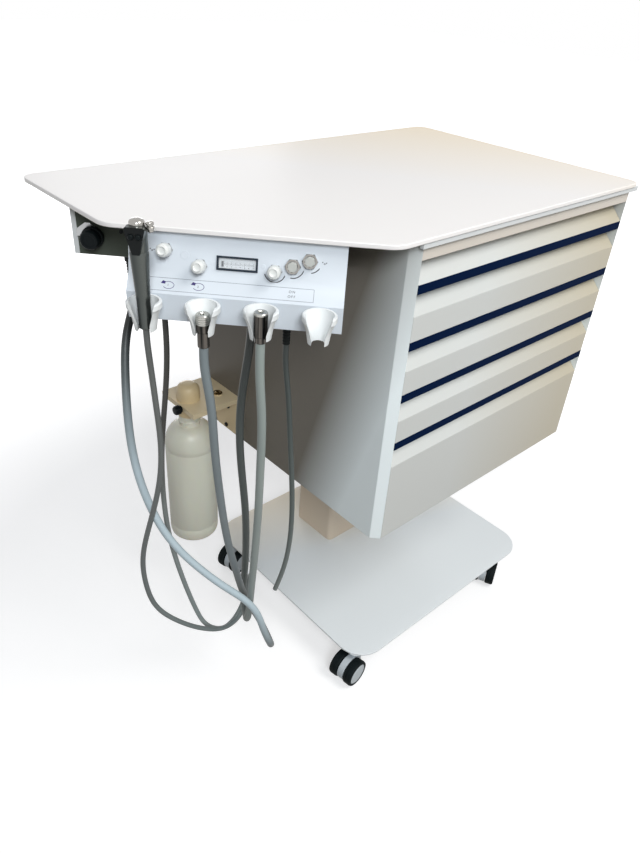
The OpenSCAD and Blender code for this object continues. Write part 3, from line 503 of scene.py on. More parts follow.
def grower(name, sockets, build):
    tree = bpy.data.node_groups.new(name, "GeometryNodeTree")
    tree.interface.new_socket("Geometry", in_out="OUTPUT", socket_type="NodeSocketGeometry")
    tree.interface.new_socket("Geometry", in_out="INPUT", socket_type="NodeSocketGeometry")
    for label, (kind, value) in sockets.items():
        socket = tree.interface.new_socket(label, in_out="INPUT", socket_type="NodeSocket" + kind)
        socket.default_value = value
    tree.interface.new_socket("Finish", in_out="INPUT", socket_type="NodeSocketMaterial")
    graph = Graph(tree)
    entry = tree.nodes.new("NodeGroupInput")
    wires = {socket.name: Wire(graph, socket) for socket in entry.outputs if socket.name}
    real = graph.add("GeometryNodeRealizeInstances", inputs={0: build(graph, wires)})
    done = graph.add("GeometryNodeSetMaterial", inputs={0: real, "Material": wires["Finish"]})
    graph.add("NodeGroupOutput", inputs={0: done})
    return tree


def grown(tree, mesh, place, finish, smooth=35, **values):
    def setUp(holder):
        modifier = holder.modifiers.new("grower", "NODES")
        modifier.node_group = tree
        values["Finish"] = finish.material
        for socket in tree.interface.items_tree:
            if socket.in_out == "INPUT" and socket.name in values:
                modifier[socket.identifier] = values[socket.name]

    result = baked(mesh, setUp)
    result.transform(place)
    return smoothed(result, smooth)


def buildTube(graph, wires):
    line = graph.add("GeometryNodeMeshToCurve", inputs={0: wires["Geometry"]})
    share = graph.add("GeometryNodeSplineParameter", out="Factor")
    line = graph.add(
        "GeometryNodeStoreNamedAttribute",
        {"data_type": "FLOAT", "domain": "POINT"},
        {0: line, "Name": "along", "Value": share},
    )
    sizes = {0: wires["Sides"], "Radius": wires["Radius"]}
    ring = graph.add("GeometryNodeCurvePrimitiveCircle", inputs=sizes)
    tube = graph.add("GeometryNodeCurveToMesh", inputs={0: line, 1: ring, "Fill Caps": True})
    return graph.add("GeometryNodeSetShadeSmooth", inputs={0: tube})


def buildTeeth(graph, wires):
    ring = graph.add("GeometryNodeMeshCircle", inputs={0: wires["Count"], 1: wires["Radius"]})
    sizes = {0: wires["Depth"], 1: wires["Width"], 2: wires["Length"]}
    size = graph.add("ShaderNodeCombineXYZ", inputs=sizes)
    tooth = graph.add("GeometryNodeMeshCube", inputs={0: size})
    spot = graph.add("GeometryNodeInputPosition")
    outwards = graph.add("FunctionNodeAlignRotationToVector", {"axis": "X"}, {"Vector": spot})
    given = {0: ring, "Instance": tooth, "Rotation": outwards}
    return graph.add("GeometryNodeInstanceOnPoints", inputs=given)


def buildRow(graph, wires):
    step = graph.add("ShaderNodeCombineXYZ", inputs={0: wires["Pitch"]})
    row = graph.add("GeometryNodeMeshLine", {"mode": "OFFSET"}, {"Count": wires["Count"], "Offset": step})
    size = graph.add("ShaderNodeCombineXYZ", inputs={0: wires["Width"], 1: wires["Length"], 2: 0.12})
    tick = graph.add("GeometryNodeMeshCube", inputs={0: size})
    return graph.add("GeometryNodeInstanceOnPoints", inputs={0: row, "Instance": tick})


def buildScrews(graph, wires):
    sizes = {0: 20, "Radius": wires["Radius"], "Depth": wires["Height"]}
    head = graph.add("GeometryNodeMeshCylinder", inputs=sizes)
    lift = graph.add("ShaderNodeCombineXYZ", inputs={2: wires["Height"] * 0.5})
    sizes = {0: 6, "Radius": wires["Radius"] * 0.5, "Depth": wires["Height"]}
    socketHole = graph.add("GeometryNodeMeshCylinder", inputs=sizes)
    socketHole = graph.add("GeometryNodeTransform", inputs={0: socketHole, "Translation": lift})
    cut = graph.add("GeometryNodeMeshBoolean", {"operation": "DIFFERENCE"}, {0: head, 1: socketHole})
    cut = graph.add("GeometryNodeTransform", inputs={0: cut, "Translation": lift})
    return graph.add("GeometryNodeInstanceOnPoints", inputs={0: wires["Geometry"], "Instance": cut})


tubeTree = grower("hoseTube", {"Sides": ("Int", 20), "Radius": ("Float", 0.004)}, buildTube)
teethTree = grower(
    "gripTeeth",
    {
        "Count": ("Int", 24), "Radius": ("Float", 10), "Depth": ("Float", 1),
        "Width": ("Float", 1), "Length": ("Float", 5),
    },
    buildTeeth,
)
rowTree = grower(
    "scaleTicks",
    {"Count": ("Int", 10), "Pitch": ("Float", 1), "Width": ("Float", 0.2), "Length": ("Float", 2)},
    buildRow,
)
screwTree = grower("screwHeads", {"Radius": ("Float", 3), "Height": ("Float", 2)}, buildScrews)


def toothed(place, finish, sizes):  # upright ribs in a ring round the axis
    return grown(teethTree, bpy.data.meshes.new("teeth"), place, finish, **sizes)


def ticked(place, finish, sizes):  # marks in a row
    return grown(rowTree, bpy.data.meshes.new("row"), place, finish, **sizes)


def screwed(points, place, finish, sizes):  # socket head screws
    mesh = bpy.data.meshes.new("dots")
    mesh.from_pydata([(x, y, 0) for x, y in points], [], [])
    return grown(screwTree, mesh, place, finish, **sizes)


# ---- hoses ----

# each hose's tones hold painted shade near the housing and painted highlights on its lit stretches
hoses = {
    "hose_1": {
        "greysWithPaintedLight": [
            (0, (96, 98, 96)), (0.25, (104, 108, 108)), (0.45, (120, 130, 130)), (0.62, (150, 160, 160)),
            (0.8, (120, 124, 122)), (0.88, (70, 68, 64)), (1, (44, 42, 40)),
        ],
        "diameter": 7.5,
        "length": 1.512,
        "cap": "tool",
        "points": [
            (-263.04, 161.88, 725), (-262.84, 162.08, 709), (-260, 164, 670), (-258, 162, 616),
            (-256, 162, 560), (-259, 166, 503), (-268, 173, 450), (-277, 183, 400), (-283, 192, 345),
            (-281, 192, 290), (-268, 186, 239), (-240, 171, 202), (-202, 159, 169), (-166, 154, 152),
            (-139, 157, 154), (-120, 161, 170), (-109, 163, 194), (-99, 174, 204), (-92, 186, 200),
            (-91, 194, 176), (-101, 191, 148), (-119, 186, 124), (-146, 183, 112), (-176, 184, 131),
            (-201, 186, 186), (-221, 192, 275), (-231, 204, 360), (-231, 212, 440), (-226, 213, 520),
            (-217, 210, 600), (-212, 208, 670), (-212, 208, 716), (-212, 208, 730),
        ],
    },
    "hose_2": {
        "greysWithPaintedLight": [
            (0, (128, 138, 142)), (0.3, (124, 132, 136)), (0.38, (96, 98, 96)), (0.47, (92, 94, 92)),
            (0.55, (186, 202, 210)), (0.8, (190, 206, 214)), (0.9, (90, 98, 100)), (0.95, (30, 32, 32)),
        ],
        "diameter": 11,
        "length": 1.269,
        "cap": "connector",
        "points": [
            (-216.72, 115.57, 707), (-216.72, 115.57, 685), (-212, 114, 640), (-204, 118, 560),
            (-192, 124, 459), (-176, 129, 361), (-158, 133, 285), (-144, 132, 230), (-130, 125, 190),
            (-120, 116, 158), (-122, 98, 147), (-128, 83, 150), (-139, 73, 171), (-147, 79, 202),
            (-156, 86, 240), (-171, 96, 270), (-195, 113, 300), (-221, 139, 334), (-245, 164, 376),
            (-264, 190, 440), (-269, 211, 500), (-266, 226, 560), (-252, 249, 620), (-231, 272, 670),
            (-207, 290, 712), (-207, 290, 724),
        ],
    },
    "hose_3": {
        "greysWithPaintedLight": [
            (0, (154, 164, 160)), (0.4, (140, 148, 146)), (0.55, (92, 98, 96)), (0.8, (68, 74, 72)),
            (1, (44, 48, 46)),
        ],
        "diameter": 11,
        "length": 1.106,
        "cap": "connector",
        "points": [
            (-170.41, 69.25, 718.5), (-170.41, 69.25, 677.5), (-167, 69, 620), (-163, 74, 545),
            (-159, 83, 440), (-156, 94, 345), (-155, 103, 262), (-155, 108, 218), (-149, 121, 192),
            (-140, 136, 188), (-132, 152, 200), (-130, 154, 238), (-131, 148, 310), (-134, 146, 400),
            (-139, 151, 500), (-137, 151, 590), (-131, 144, 660), (-129, 140, 710), (-129, 140, 730),
        ],
    },
    "hose_4": {
        "greysWithPaintedLight": [(0, (50, 56, 54)), (0.3, (66, 74, 72)), (0.7, (92, 100, 98)), (1, (120, 126, 124))],
        "diameter": 7.5,
        "length": 0.442,
        "cap": "bare",
        "points": [
            (-105, 101, 684), (-105, 101, 664), (-102, 98, 620), (-97, 94, 540), (-93, 90, 460),
            (-92, 89, 360), (-98, 95, 290), (-106, 103, 245),
        ],
    },
}


def curved(points, step=4.0):
    # one smooth line through the points: a cubic spline over the distance between them
    p = np.array(points, float)
    t = np.concatenate([[0], np.cumsum(np.linalg.norm(np.diff(p, axis=0), axis=1))])
    h = np.diff(t)
    n = len(p)
    system, right = np.eye(n), np.zeros((n, 3))
    for i in range(1, n - 1):
        system[i, i - 1:i + 2] = h[i - 1], 2 * (h[i - 1] + h[i]), h[i]
        right[i] = 6 * ((p[i + 1] - p[i]) / h[i] - (p[i] - p[i - 1]) / h[i - 1])
    bend = np.linalg.solve(system, right)
    line = []
    for i in range(n - 1):
        for s in np.arange(0, 1, 1 / max(1, round(h[i] / step))):
            a, b = 1 - s, s
            pull = (a ** 3 - a) * bend[i] + (b ** 3 - b) * bend[i + 1]
            line.append(a * p[i] + b * p[i + 1] + pull * h[i] ** 2 / 6)
    return [cabinet @ Vector(q) for q in line + [p[-1]]]


hoseLines = {name: curved(sizes["points"]) for name, sizes in hoses.items()}
hosePieces = {}
for name, sizes in hoses.items():
    line = bpy.data.meshes.new("line")
    count = len(hoseLines[name])
    line.from_pydata(hoseLines[name], [(k, k + 1) for k in range(count - 1)], [])
    finish = sleeved(name + "Grey", sizes["greysWithPaintedLight"])
    mesh = grown(tubeTree, line, Matrix.Identity(4), finish, 60, Sides=20, Radius=sizes["diameter"] / 2000)
    hosePieces[name] = put(name + "Tube", mesh, "cabinet", finish, (name,))
print("hoses laid:", ", ".join(hosePieces))


# ---- floor and light ----

lighting = {
    "floorSize": 12,
    "floorSeen": (0.6, 0.6, 0.61, 1),
    "floorBounce": (0.2, 0.185, 0.165, 1),  # what the floor gives back to the object
    "glowNear": 0.52,
    "glowMore": 0.5,
    "glowReach": (0.7, 1.5),
    "skyColour": (0.95, 0.97, 1.0, 1),
    "skyStrength": 0.24,
    "lamps": [  # name, place, aim, size, power, colour
        ("windowLamp", (-1.5, -2.2, 2.4), (0, 0, 0.6), 0.9, 56, (0.94, 0.98, 1)),
        ("ceilingLamp", (0.6, -2.0, 3.0), (0, 0, 0.6), 1.4, 50, (1, 0.98, 0.94)),
        ("backLamp", (1.3, 2.8, 0.6), (0, 0, 0.5), 1.4, 24, (0.97, 0.98, 1)),
    ],
}


def viewRays(graph):
    # the camera's own rays, and with them the mirrored and the clear ones
    seen = graph.add("ShaderNodeLightPath", out="Is Camera Ray")
    rays = seen + graph.add("ShaderNodeLightPath", out="Is Glossy Ray")
    return seen, rays + graph.add("ShaderNodeLightPath", out="Is Transmission Ray")


def lightScene():
    work = bmesh.new()
    bmesh.ops.create_grid(work, x_segments=1, y_segments=1, size=lighting["floorSize"])
    floor = bpy.data.objects.new("floor", toMesh("floor", work, Matrix.Identity(4)))
    bpy.context.scene.collection.objects.link(floor)
    graph = Finish("floorPale", Roughness=0.9)
    seen, rays = viewRays(graph)
    graph.feed(Base_Color=graph.tint(seen, lighting["floorBounce"], lighting["floorSeen"]))
    away = graph.add("ShaderNodeVectorMath", {"operation": "LENGTH"}, {0: graph.place}, out="Value")
    more = graph.ramp(away, *lighting["glowReach"]) * lighting["glowMore"]
    glow = graph.add("ShaderNodeEmission", inputs={"Strength": rays * (lighting["glowNear"] + more)})
    both = graph.add("ShaderNodeAddShader", inputs={0: graph.shader, 1: glow})
    graph.tree.links.new(both.socket, graph.tree.nodes["Material Output"].inputs["Surface"])
    floor.data.materials.append(graph.material)
    world = bpy.data.worlds.new("studio")
    world.use_nodes = True
    bpy.context.scene.world = world
    sky = Graph(world.node_tree)
    rays = viewRays(sky)[1]
    rays = rays.maths("MINIMUM", rays, 1.0)
    around = {"Color": lighting["skyColour"], "Strength": lighting["skyStrength"]}
    plain = sky.add("ShaderNodeBackground", inputs=around)
    white = sky.add("ShaderNodeBackground", inputs={"Color": (1, 1, 1, 1), "Strength": 1.0})
    mixed = sky.add("ShaderNodeMixShader", inputs={0: rays, 1: plain, 2: white})
    sky.add("ShaderNodeOutputWorld", inputs={"Surface": mixed})
    for name, place, aim, size, power, colour in lighting["lamps"]:
        lamp = bpy.data.lights.new(name, "AREA")
        lamp.size, lamp.energy, lamp.color = size, power, colour
        holder = bpy.data.objects.new(name, lamp)
        way = Vector(aim) - Vector(place)
        holder.matrix_world = shift(*place) @ way.to_track_quat("-Z", "Y").to_matrix().to_4x4()
        bpy.context.scene.collection.objects.link(holder)


lightScene()
bpy.context.scene.view_settings.view_transform = "Standard"
print("floor and lamps stand")


# ---- worktop and cabinet ----

worktop = {
    "outline": [(-38, -8), (512, -8), (512, 449), (-273, 449), (-273, 227)],
    "corners": [34, 20, 20, 20, 34],
    "low": 824,
    "high": 830,
    "edge": 1.2,
}


def makeCabinet():
    outline = rounded(worktop["outline"], worktop["corners"])
    mesh = slab("worktopSheet", outline, worktop["low"], worktop["high"], cabinet)
    mesh = eased(mesh, worktop["edge"], 3)
    put("worktopSheet", mesh, "cabinet", worktopPaintedWarmLight, ("worktop",))
    soften("top_frame", "cabinet", whitePaint, 0.6)
    soften("top_rail", "cabinet", railBeige, 0.5)
    # both sides take the paint with the painted shadow, the right side as well
    for node in ("side_left", "side_right"):
        soften(node, "cabinet", sidePaintedShadow, 0.6)
    dress("back_and_floor", whitePaint)
    dress("runners", zinc)
    soften("control_housing", "cabinet", whitePaint, 0.8)


makeCabinet()
print("cabinet dressed")


# ---- drawers ----

def makeDrawers():
    for k in range(1, 6):
        body = f"drawer_{k}"
        soften(f"front_{k}", body, frontPaint, 0.7, 3)
        dress(f"tray_{k}", whitePaint)
        if k < 5:
            soften(f"strip_{k}", body, navyTrim, 0.4)


makeDrawers()
print("drawers dressed")


# ---- stand ----

stand = {
    "plate": (8, 2, 502, 445),
    "corner": 50,
    "low": 62,
    "high": 66,
    "edge": 1.0,
    "boss": [(0, 59), (17, 59), (19, 60.5), (19, 62.01), (0, 62.01)],
    "casters": [(32, 34, 188), (428, 34, 206), (428, 386, 205), (32, 386, 192)],  # x, y, swivel
    "trail": 20,
    "axle": 25,
    "axlePin": [(0, -8), (3, -8), (3, 8), (0, 8)],
    "wheel": 25,
    "inner": 7,
    "outer": 24,
    "hub": 19.6,
}


def makeStand():
    outline = rounded(boxed(*stand["plate"]), [stand["corner"]] * 4)
    plate = slab("baseSheet", outline, stand["low"], stand["high"], cabinet)
    bosses = []
    for x, y, angle in stand["casters"]:
        bosses.append(turned("boss", stand["boss"], cabinet @ shift(x, y, 0), 40))
    mesh = joined("baseSheet", [eased(plate, stand["edge"], 3)] + bosses)
    put("baseSheet", mesh, "cabinet", platePaintedWarmLight, ("base_plate",))
    soften("column", "cabinet", creamPaint, 0.5)
    r, inner, outer, hub = stand["wheel"], stand["inner"], stand["outer"], stand["hub"]
    for k, (x, y, angle) in enumerate(stand["casters"], 1):
        place = cabinet @ shift(x, y, 0) @ turn(angle, "Z") @ shift(stand["trail"], 0, stand["axle"])
        soften(f"caster_{k}", f"caster_{k}", casterGrey, 0.8)
        tyres, hubs = [], []
        for side in (0, 180):
            out = place @ turn(side, "Z") @ turn(90, "X")
            tyres.append(turned("tyre", [
                (hub, inner), (r - 3, inner), (r - 1, inner + 0.8), (r - 0.2, inner + 2.4), (r, inner + 4),
                (r, 13), (r - 0.7, 13.4), (r - 0.7, 14.1), (r, 14.5), (r, outer - 4),
                (r - 0.2, outer - 2.4), (r - 1, outer - 0.8), (r - 3, outer), (hub + 0.6, outer),
                (hub, outer - 0.8),
            ], out, 64, 30, closed=True))
            hubs.append(turned("hub", [
                (0, inner - 0.6), (hub - 0.05, inner + 0.2), (hub - 0.05, outer - 1.2),
                (hub - 0.6, outer - 0.7), (hub - 3, outer - 0.5), (hub - 3.4, outer - 0.8),
                (hub - 4, outer - 0.8), (hub - 4.4, outer - 0.4), (9, outer - 0.15), (4, outer), (0, outer),
            ], out, 56, 30))
        axle = turned("axle", stand["axlePin"], place @ turn(90, "X"), 24)
        put(f"tyres_{k}", joined("tyres", tyres), f"wheels_{k}", tyreRubber, (f"wheels_{k}",))
        put(f"hubs_{k}", joined("hubs", hubs + [axle]), f"wheels_{k}", casterGrey)


makeStand()
print("stand and casters made")


# ---- control panel ----

panelPrint = {
    "frame": (-112, 89, 5, 20),  # left, right, top, foot on the label band
    "thinLine": 0.5,
    "symbols": [(-96.8, 15.3), (98.4, 15.2)],
    "symbolDots": [(-2.2, 1.2, 0.5), (0, -0.4, 0.8), (2.2, 0.6, 0.5)],  # across, up, radius
    "arcs": [(43, 28.5, 12, 197, 342), (63, 21.3, 13, 260, 343), (82, 14, 13.2, 278, 328)],
    "arcLine": 1.1,
    "plugs": [(-59.5, 18.2, 5.2), (-28.1, 24, 2.8), (29.6, 24, 2.8)],
    "arrows": [(-77.1, 13.2, "1"), (-42.9, 12.6, "2")],
    "loop": (0.5, 0, 6.4, 4.2, -150, 150),
    "loopLine": 0.6,
    "head": [(-8.4, 1.8), (-3.4, 1.2), (-3.0, 4.2), (-6.2, 5.2)],
    "numberSize": 2.6,
    "words": [(64, 9.7, "ON"), (63.8, 15.3, "OFF")],
    "wordSize": 3.0,
    "wordSpacing": 1.35,
}


def arc(x, y, wide, high, start, end, steps=24):
    angles = [math.radians(start + (end - start) * k / steps) for k in range(steps + 1)]
    return [(x + wide * math.cos(a), y + high * math.sin(a)) for a in angles]


def makePanel():
    soften("control_panel", "cabinet", panelPaint, 0.9, 3)
    left, right, top, foot = panelPrint["frame"]
    corners = [(left, -top), (right, -top), (right, -foot), (left, -foot)]
    wide = panelPrint["thinLine"]
    lines = [stroke("frame", [corners[k - 1], corners[k]], wide, onBand(0, 0)) for k in range(4)]
    put("labelFrame", joined("labelFrame", lines), "cabinet", greyInk)
    arcs = []
    for u, s, r, start, end in panelPrint["arcs"]:
        arcs.append(stroke("arc", arc(0, 0, r, r, start, end), panelPrint["arcLine"], onFace(u, s)))
    for u, s in panelPrint["symbols"]:
        for dx, dy, r in panelPrint["symbolDots"]:
            ring = arc(dx, dy, r, r, 0, 345, 12)
            arcs.append(stroke("dot", ring, panelPrint["thinLine"], onFace(u, s), True))
    put("dialPrint", joined("dialPrint", arcs), "cabinet", blackInk)
    marks, loops, numbers = [], [], []
    for u, t, number in panelPrint["arrows"]:
        place = onBand(u, t)
        loops.append(stroke("loop", arc(*panelPrint["loop"]), panelPrint["loopLine"], place))
        marks.append(slab("head", panelPrint["head"], printLow, printHigh, place))
        numbers.append(lettered(number, panelPrint["numberSize"], place))
    for u, t, word in panelPrint["words"]:
        numbers.append(lettered(word, panelPrint["wordSize"], onBand(u, t), panelPrint["wordSpacing"]))
    put("arrowPrint", joined("arrowPrint", marks), "cabinet", purpleInk)
    put("loopPrint", joined("loopPrint", loops), "cabinet", purpleInk)
    put("wordPrint", joined("wordPrint", numbers), "cabinet", wordInk)
    plugs = []
    for u, s, r in panelPrint["plugs"]:
        plugs.append(turned("plug", [(0, 0.35), (r - 0.5, 0.3), (r, -0.3)], onFace(u, s), 40))
    put("blindPlugs", joined("blindPlugs", plugs), "cabinet", panelPaint)


makePanel()

gauge = {
    "place": (0, 23.6),
    "window": (42.4, 11.4),
    "floor": -2.9,
    "print": 0.3,  # the print's middle over the floor
    "zero": -17,
    "row": -1.0,  # how far the marks sit under the middle
    "fine": {"Count": 35, "Pitch": 1.0, "Width": 0.16, "Length": 2.0},
    "coarse": {"Count": 8, "Pitch": 5.0, "Width": 0.3, "Length": 3.4},
    "numbers": -4.0,
    "numberSize": 1.7,
    "glass": (0.5, 0.9),
}


def makeGauge():
    soften("gauge", "cabinet", gaugeDark, 0.35)
    wide, high = gauge["window"]
    window = boxed(-wide / 2, -high / 2, wide / 2, high / 2)
    place, floor, zero = onFace(*gauge["place"]), gauge["floor"], gauge["zero"]
    sheet = slab("scale", window, floor - 0.2, floor + 0.25, place)
    put("gaugeScale", sheet, "cabinet", scaleWhite)
    start = shift(zero, gauge["row"], floor + gauge["print"])
    marks = [ticked(place @ start, blackInk, gauge["fine"])]
    marks.append(ticked(place @ start @ shift(0, 0.5, 0), blackInk, gauge["coarse"]))
    for k in range(gauge["coarse"]["Count"]):
        spot = shift(zero + gauge["coarse"]["Pitch"] * k, gauge["numbers"], floor + gauge["print"])
        marks.append(lettered(str(k), gauge["numberSize"], place @ spot))
    put("gaugeTicks", joined("gaugeTicks", marks), "cabinet", blackInk)
    glass = slab("glass", window, *gauge["glass"], place)
    put("gaugeGlass", glass, "cabinet", gaugeGlass)
    dress("gauge_pointer", blackInk)


makeGauge()


valveKnobs = {
    "places": [(-81.5, 14), (-42, 29), (43, 28.5)],
    "nut": [(0, 0.4), (8.0, 0.4), (8.5, 0.8), (8.5, 2.8), (8.0, 3.4), (0, 3.4)],
    "grip": [
        (7.3, 3), (7.9, 4), (7.8, 9), (7.4, 15.6), (6.9, 17.4), (6.2, 18), (5.7, 18), (5.4, 18.3),
        (5.1, 19.2), (4.6, 19.6), (4.0, 19.4), (3.6, 18.8), (3.1, 18.6), (0, 18.6),
    ],
    "shaft": [(0, -7.5), (2.5, -7.5), (2.5, 1), (0, 1)],
}


def makeKnobs():
    for k, (u, s) in enumerate(valveKnobs["places"], 1):
        place, body = onFace(u, s), f"valve_knob_{k}"
        foot = turned("foot", valveKnobs["nut"], place, 6, 20)
        grip = turned("grip", valveKnobs["grip"], place, 56, 32)
        shaft = turned("shaft", valveKnobs["shaft"], place, 24)
        put(f"knob_{k}", joined("knob", [grip, shaft]), body, knobWhite, (body,))
        put(f"knobFoot_{k}", foot, body, chrome)
    for k in (1, 2):
        soften(f"regulator_knob_{k}", f"regulator_knob_{k}", knobGrey, 0.3)
    soften("bezels", "cabinet", chrome, 0.4)


makeKnobs()


sideKnob = {
    "place": (-65.5, 0, 785),
    "profile": [
        (0, 0.1), (2.5, 0.1), (2.5, 3.9), (12.8, 3.9), (13.5, 4.6), (13.5, 9), (12.8, 9.9),
        (11.8, 10.2), (11.8, 19.4), (11.2, 21), (10.2, 21.9), (7.4, 21.9), (7, 21.4), (0, 21.2),
    ],
    "ribsAt": 15,
    "ribs": {"Count": 36, "Radius": 11.75, "Depth": 1.0, "Width": 0.95, "Length": 8.6},
}
sideScrews = {"places": [(-31, 793), (-5, 768)], "plate": 1.5, "sizes": {"Radius": 2.4, "Height": 1.2}}


def makeSide():
    # the side plate's dark grey-brown is painted shade
    soften("side_plate", "cabinet", paintedShadePlate, 0.3)
    soften("side_bracket", "cabinet", zinc, 0.3)
    place = sidePlace @ shift(*sideKnob["place"]) @ turn(90, "X")
    body = turned("body", sideKnob["profile"], place, 64, 30)
    ribs = toothed(place @ shift(0, 0, sideKnob["ribsAt"]), blackPlastic, sideKnob["ribs"])
    mesh = joined("sideKnob", [body, ribs])
    put("sideKnob", mesh, "pressure_knob", blackPlastic, ("pressure_knob",))
    place = sidePlace @ shift(0, -sideScrews["plate"], 0) @ turn(90, "X")
    screws = screwed(sideScrews["places"], place, blackPlastic, sideScrews["sizes"])
    put("sideScrews", screws, "cabinet", blackPlastic)


makeSide()
print("control panel, gauge and knobs made")


# ---- instruments ----

couplings = {
    "seat": 723.5,
    "each": {1: (-32.75, 24.5, 16.5, 4), 2: (32.75, 32.5, 5, 0)},  # along, top, drop below, rings
    "pitch": 2.6,
}
syringe = {
    "shieldBefore": -11.9,
    "domeAt": 119.5,
    "dome": [
        (0, 0), (8.5, 0), (8.5, 1.4), (8.3, 2.6), (7.6, 4), (6.4, 5.1), (4.5, 6), (2.4, 6.5), (0, 6.6),
    ],
    "stubAt": 115.5,
    "stub": [(0, 6.1), (2.5, 6.1), (2.5, 14.6), (0, 14.6)],
    "tipAt": (14.6, 0, 112.5),
    "tip": [
        (0, 0), (3, 0), (3.4, 0.4), (3.4, 2.4), (4, 2.6), (4.3, 3), (4.3, 5), (4, 5.4), (3.2, 5.6),
        (3.2, 6.8), (4, 7), (4.3, 7.4), (4.3, 9.6), (3.9, 10.4), (3.4, 10.6), (1.8, 10.6), (1.6, 10.3),
        (1.6, 8), (0, 8),
    ],
}


def makeInstruments():
    soften("holders", "cabinet", holderWhite, 0.9, 3)
    body = eased(copied("syringe"), 0.7, 3)
    front = syringePlace.inverted()
    shield = body.attributes.new("shield", "FLOAT", "FACE")
    edge = syringe["shieldBefore"]
    shield.data.foreach_set("value", [float((front @ face.center).y < edge) for face in body.polygons])
    put("syringeBody", body, "cabinet", steeled("syringeSteel"), ("syringe",))
    for k in (1, 2):
        dress(f"syringe_button_{k}", blackPlastic)
    dome = turned("dome", syringe["dome"], syringePlace @ shift(0, 0, syringe["domeAt"]), 56, 40)
    place = syringePlace @ shift(0, 0, syringe["stubAt"]) @ turn(90, "Y")
    stub = turned("stub", syringe["stub"], place, 32)
    place = syringePlace @ shift(*syringe["tipAt"]) @ turn(-6, "Y")
    tip = turned("tip", syringe["tip"], place, 40, 30)
    put("syringeTip", joined("syringeTip", [dome, stub, tip]), "cabinet", chrome, ("nozzle",))
    seat, pitch = couplings["seat"], couplings["pitch"]
    for k, (u, top, drop, rings) in couplings["each"].items():
        profile = [(0, -drop), (6.4, -drop), (7, 0.6 - drop), (7, 2.6), (8.1, 3.6), (8.1, top - 12)]
        for ring in range(rings):
            z = top - 3 - pitch * (rings - 1 - ring)
            profile += [(8.0, z - 0.9), (8.6, z - 0.5), (8.6, z + 0.5), (8.0, z + 0.9)]
        profile += [(8.1, top - 1), (7.2, top), (4.6, top), (4.2, top - 0.6), (2.9, top - 0.6)]
        profile += [(2.5, top - 1.2), (2.5, top - 3), (0, top - 3)]
        mesh = turned("coupling", profile, panelPlace @ shift(u, panelFold["holders"], seat), 56, 30)
        finish = coupled(f"couplingSteel_{k}", (seat + top - (12 if rings else 3)) / 1000)
        put(f"coupling_{k}", mesh, "cabinet", finish, (f"connector_{k}",))


makeInstruments()


cuffs = {
    "root": 760,  # height from which they hang
    "each": [  # x, y, hose diameter, length
        (-212, 208, 7.5, 30), (-207, 290, 11, 36), (-129, 140, 11, 30), (-105, 101, 7.5, 76),
    ],
}


def makeCuffs():
    made = []
    for x, y, hose, long in cuffs["each"]:
        profile = [(0, 0), (8.2, 0), (9, 0.8), (9, 7.2), (8.2, 8), (hose / 2 + 2, 8)]
        ribs = int((long - 12) / 4)
        for k in range(ribs):
            z = 10 + k * (long - 12) / ribs
            r = hose / 2 + 2 - 1.0 * (z - 8) / (long - 8)
            profile += [(r - 0.5, z), (r, z + 0.6), (r, z + 2), (r - 0.5, z + 2.6)]
        profile += [(hose / 2 + 1, long - 0.5), (hose / 2 + 0.6, long), (0, long)]
        place = cabinet @ shift(x, y, cuffs["root"]) @ turn(180, "X")
        made.append(turned("cuff", profile, place, 40, 30))
    put("hoseCuffs", joined("hoseCuffs", made), "cabinet", cuffBlack, ("glands",))


makeCuffs()
print("instruments and cuffs made")


# ---- bottle ----

bottle = {
    "x": -71, "y": 394, "radius": 45, "foot": 151, "shoulder": 355, "rise": 40, "neck": 18, "top": 440,
}
bottleCap = {
    "profile": [
        (18.4, 416), (19.6, 416), (20.0, 416.6), (20.0, 443), (19.4, 444), (17.5, 444), (17.5, 446),
        (20, 446), (20, 460), (19.6, 464.6), (18.4, 468.4), (16.4, 471.6), (13.4, 474), (10, 475.4),
        (7, 476), (0, 476), (0, 440.4), (18.4, 440.4),
    ],
    "ribsAt": 430,
    "ribs": {"Count": 54, "Radius": 19.9, "Depth": 0.5, "Width": 1.0, "Length": 24.0},
    "tube": [(2, 171), (3, 171), (3, 443), (2, 440)],
}
bracketKnob = {
    "place": (-95, 379, 440.5),
    "profile": [
        (0, -3), (1.5, -3), (1.5, 0.4), (5.4, 0.4), (6, 1), (6, 2.2), (7.6, 4), (7.6, 11.6),
        (6.5, 13.6), (5, 14), (0, 14),
    ],
    "ribsAt": 7.8,
    "ribs": {"Count": 18, "Radius": 7.5, "Depth": 1.0, "Width": 1.3, "Length": 7.6},
}
flangeScrews = {
    "places": [(-374, 414), (-380, 372)], "flange": 2, "sizes": {"Radius": 4.0, "Height": 2.2},
}
fitting = {
    "place": (-23, 377, 0),
    "ring": [(5, 448), (5, 448.6), (6, 449), (7.6, 449), (8.6, 448.4), (8.8, 448)],
    "core": [(0, 437), (4.3, 437), (4.3, 449.4), (3.4, 450), (1.6, 450), (1.6, 446), (0, 446)],
}


def shoulderArc(reach, foot, angles):  # points of the bottle's shoulder over its neck's radius
    swing = [math.radians(angle) for angle in angles]
    bend = bottle["radius"] - bottle["neck"] - 2
    return [(reach + bend * math.cos(a), foot + bottle["rise"] * math.sin(a)) for a in swing]


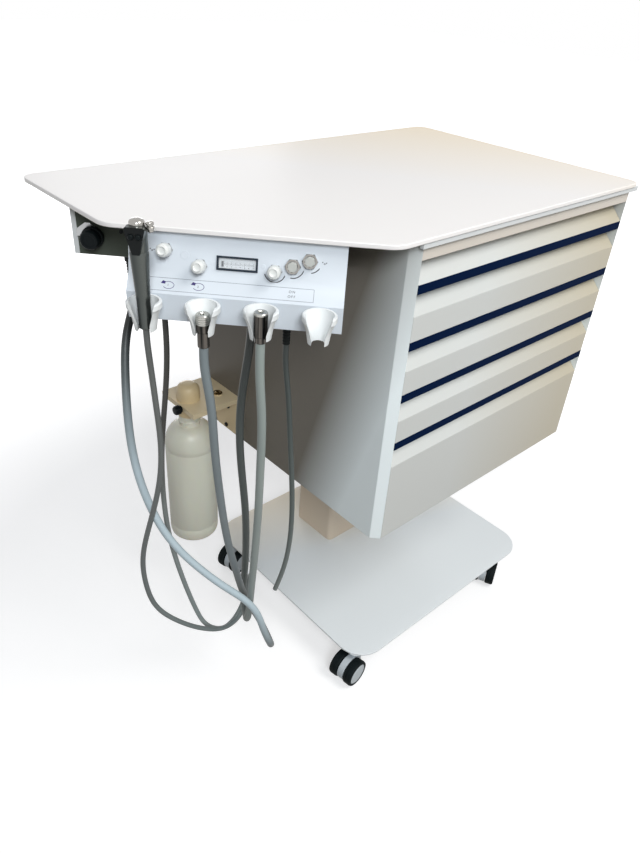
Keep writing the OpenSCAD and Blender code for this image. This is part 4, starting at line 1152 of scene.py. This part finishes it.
def makeBottle():
    place = cabinet @ shift(bottle["x"], bottle["y"], 0)
    r, foot, side, rise, neck = (bottle[key] for key in ("radius", "foot", "shoulder", "rise", "neck"))
    outer = [(0, foot + 5), (r * 0.55, foot + 5), (r * 0.72, foot), (r - 8, foot), (r - 4, foot + 1.4)]
    outer += [(r - 1.6, foot + 4.4), (r - 0.4, foot + 9), (r, foot + 15), (r, foot + 24)]
    outer += [(r - 0.8, foot + 26), (r - 0.8, foot + 28), (r, foot + 30)]
    outer += [(r, side - 8), (r - 0.8, side - 6), (r - 0.8, side - 4), (r, side - 2)]
    outer += shoulderArc(neck + 2, side, range(6, 85, 6))
    root, top = side + rise, bottle["top"]
    outer += [(neck, root), (neck, root + 6), (neck + 1, root + 7.5), (neck + 1, root + 10)]
    outer += [(neck, root + 11.5), (neck, top)]
    inner = [(neck - 2, top), (neck - 2, root)]
    inner += shoulderArc(neck, side - 1, range(78, -1, -13))
    inner += [(r - 2, foot + 15), (r - 9, foot + 7), (0, foot + 7)]
    shell = turned("bottleShell", outer + inner, place, 96, 30)
    put("bottleShell", shell, "bottle", bottleNatural, ("bottle",))
    cap = turned("cap", bottleCap["profile"], place, 72, 30, closed=True)
    ribs = toothed(place @ shift(0, 0, bottleCap["ribsAt"]), capCream, bottleCap["ribs"])
    tube = turned("tube", bottleCap["tube"], place, 24, closed=True)
    mesh = joined("bottleCap", [cap, ribs, tube])
    put("bottleCap", mesh, "cabinet", capCream, ("bottle_cap",))
    soften("bottle_bracket", "cabinet", bracketCream, 0.5)
    place = cabinet @ shift(*bracketKnob["place"]) @ turn(-90, "Y")
    body = turned("body", bracketKnob["profile"], place, 40, 30)
    ribs = toothed(place @ shift(0, 0, bracketKnob["ribsAt"]), blackPlastic, bracketKnob["ribs"])
    mesh = joined("bracketKnob", [body, ribs])
    put("bracketKnob", mesh, "bracket_knob", blackPlastic, ("bracket_knob",))
    place = cabinet @ shift(-flangeScrews["flange"], 0, 0) @ turn(-90, "Z") @ turn(90, "X")
    screws = screwed(flangeScrews["places"], place, blackPlastic, flangeScrews["sizes"])
    put("flangeScrews", screws, "cabinet", blackPlastic)
    place = cabinet @ shift(*fitting["place"])
    ring = turned("ring", fitting["ring"], place, 40, closed=True)
    core = turned("core", fitting["core"], place, 32)
    put("plateFitting", joined("plateFitting", [ring, core]), "cabinet", brass)


makeBottle()
print("bottle made")

# ---- cords: each hose's line taken from its gland outwards ----

for name, piece in hosePieces.items():
    # each is told from its gland outwards, and only hose_4 is drawn that way round
    line = hoseLines[name] if name == "hose_4" else hoseLines[name][::-1]
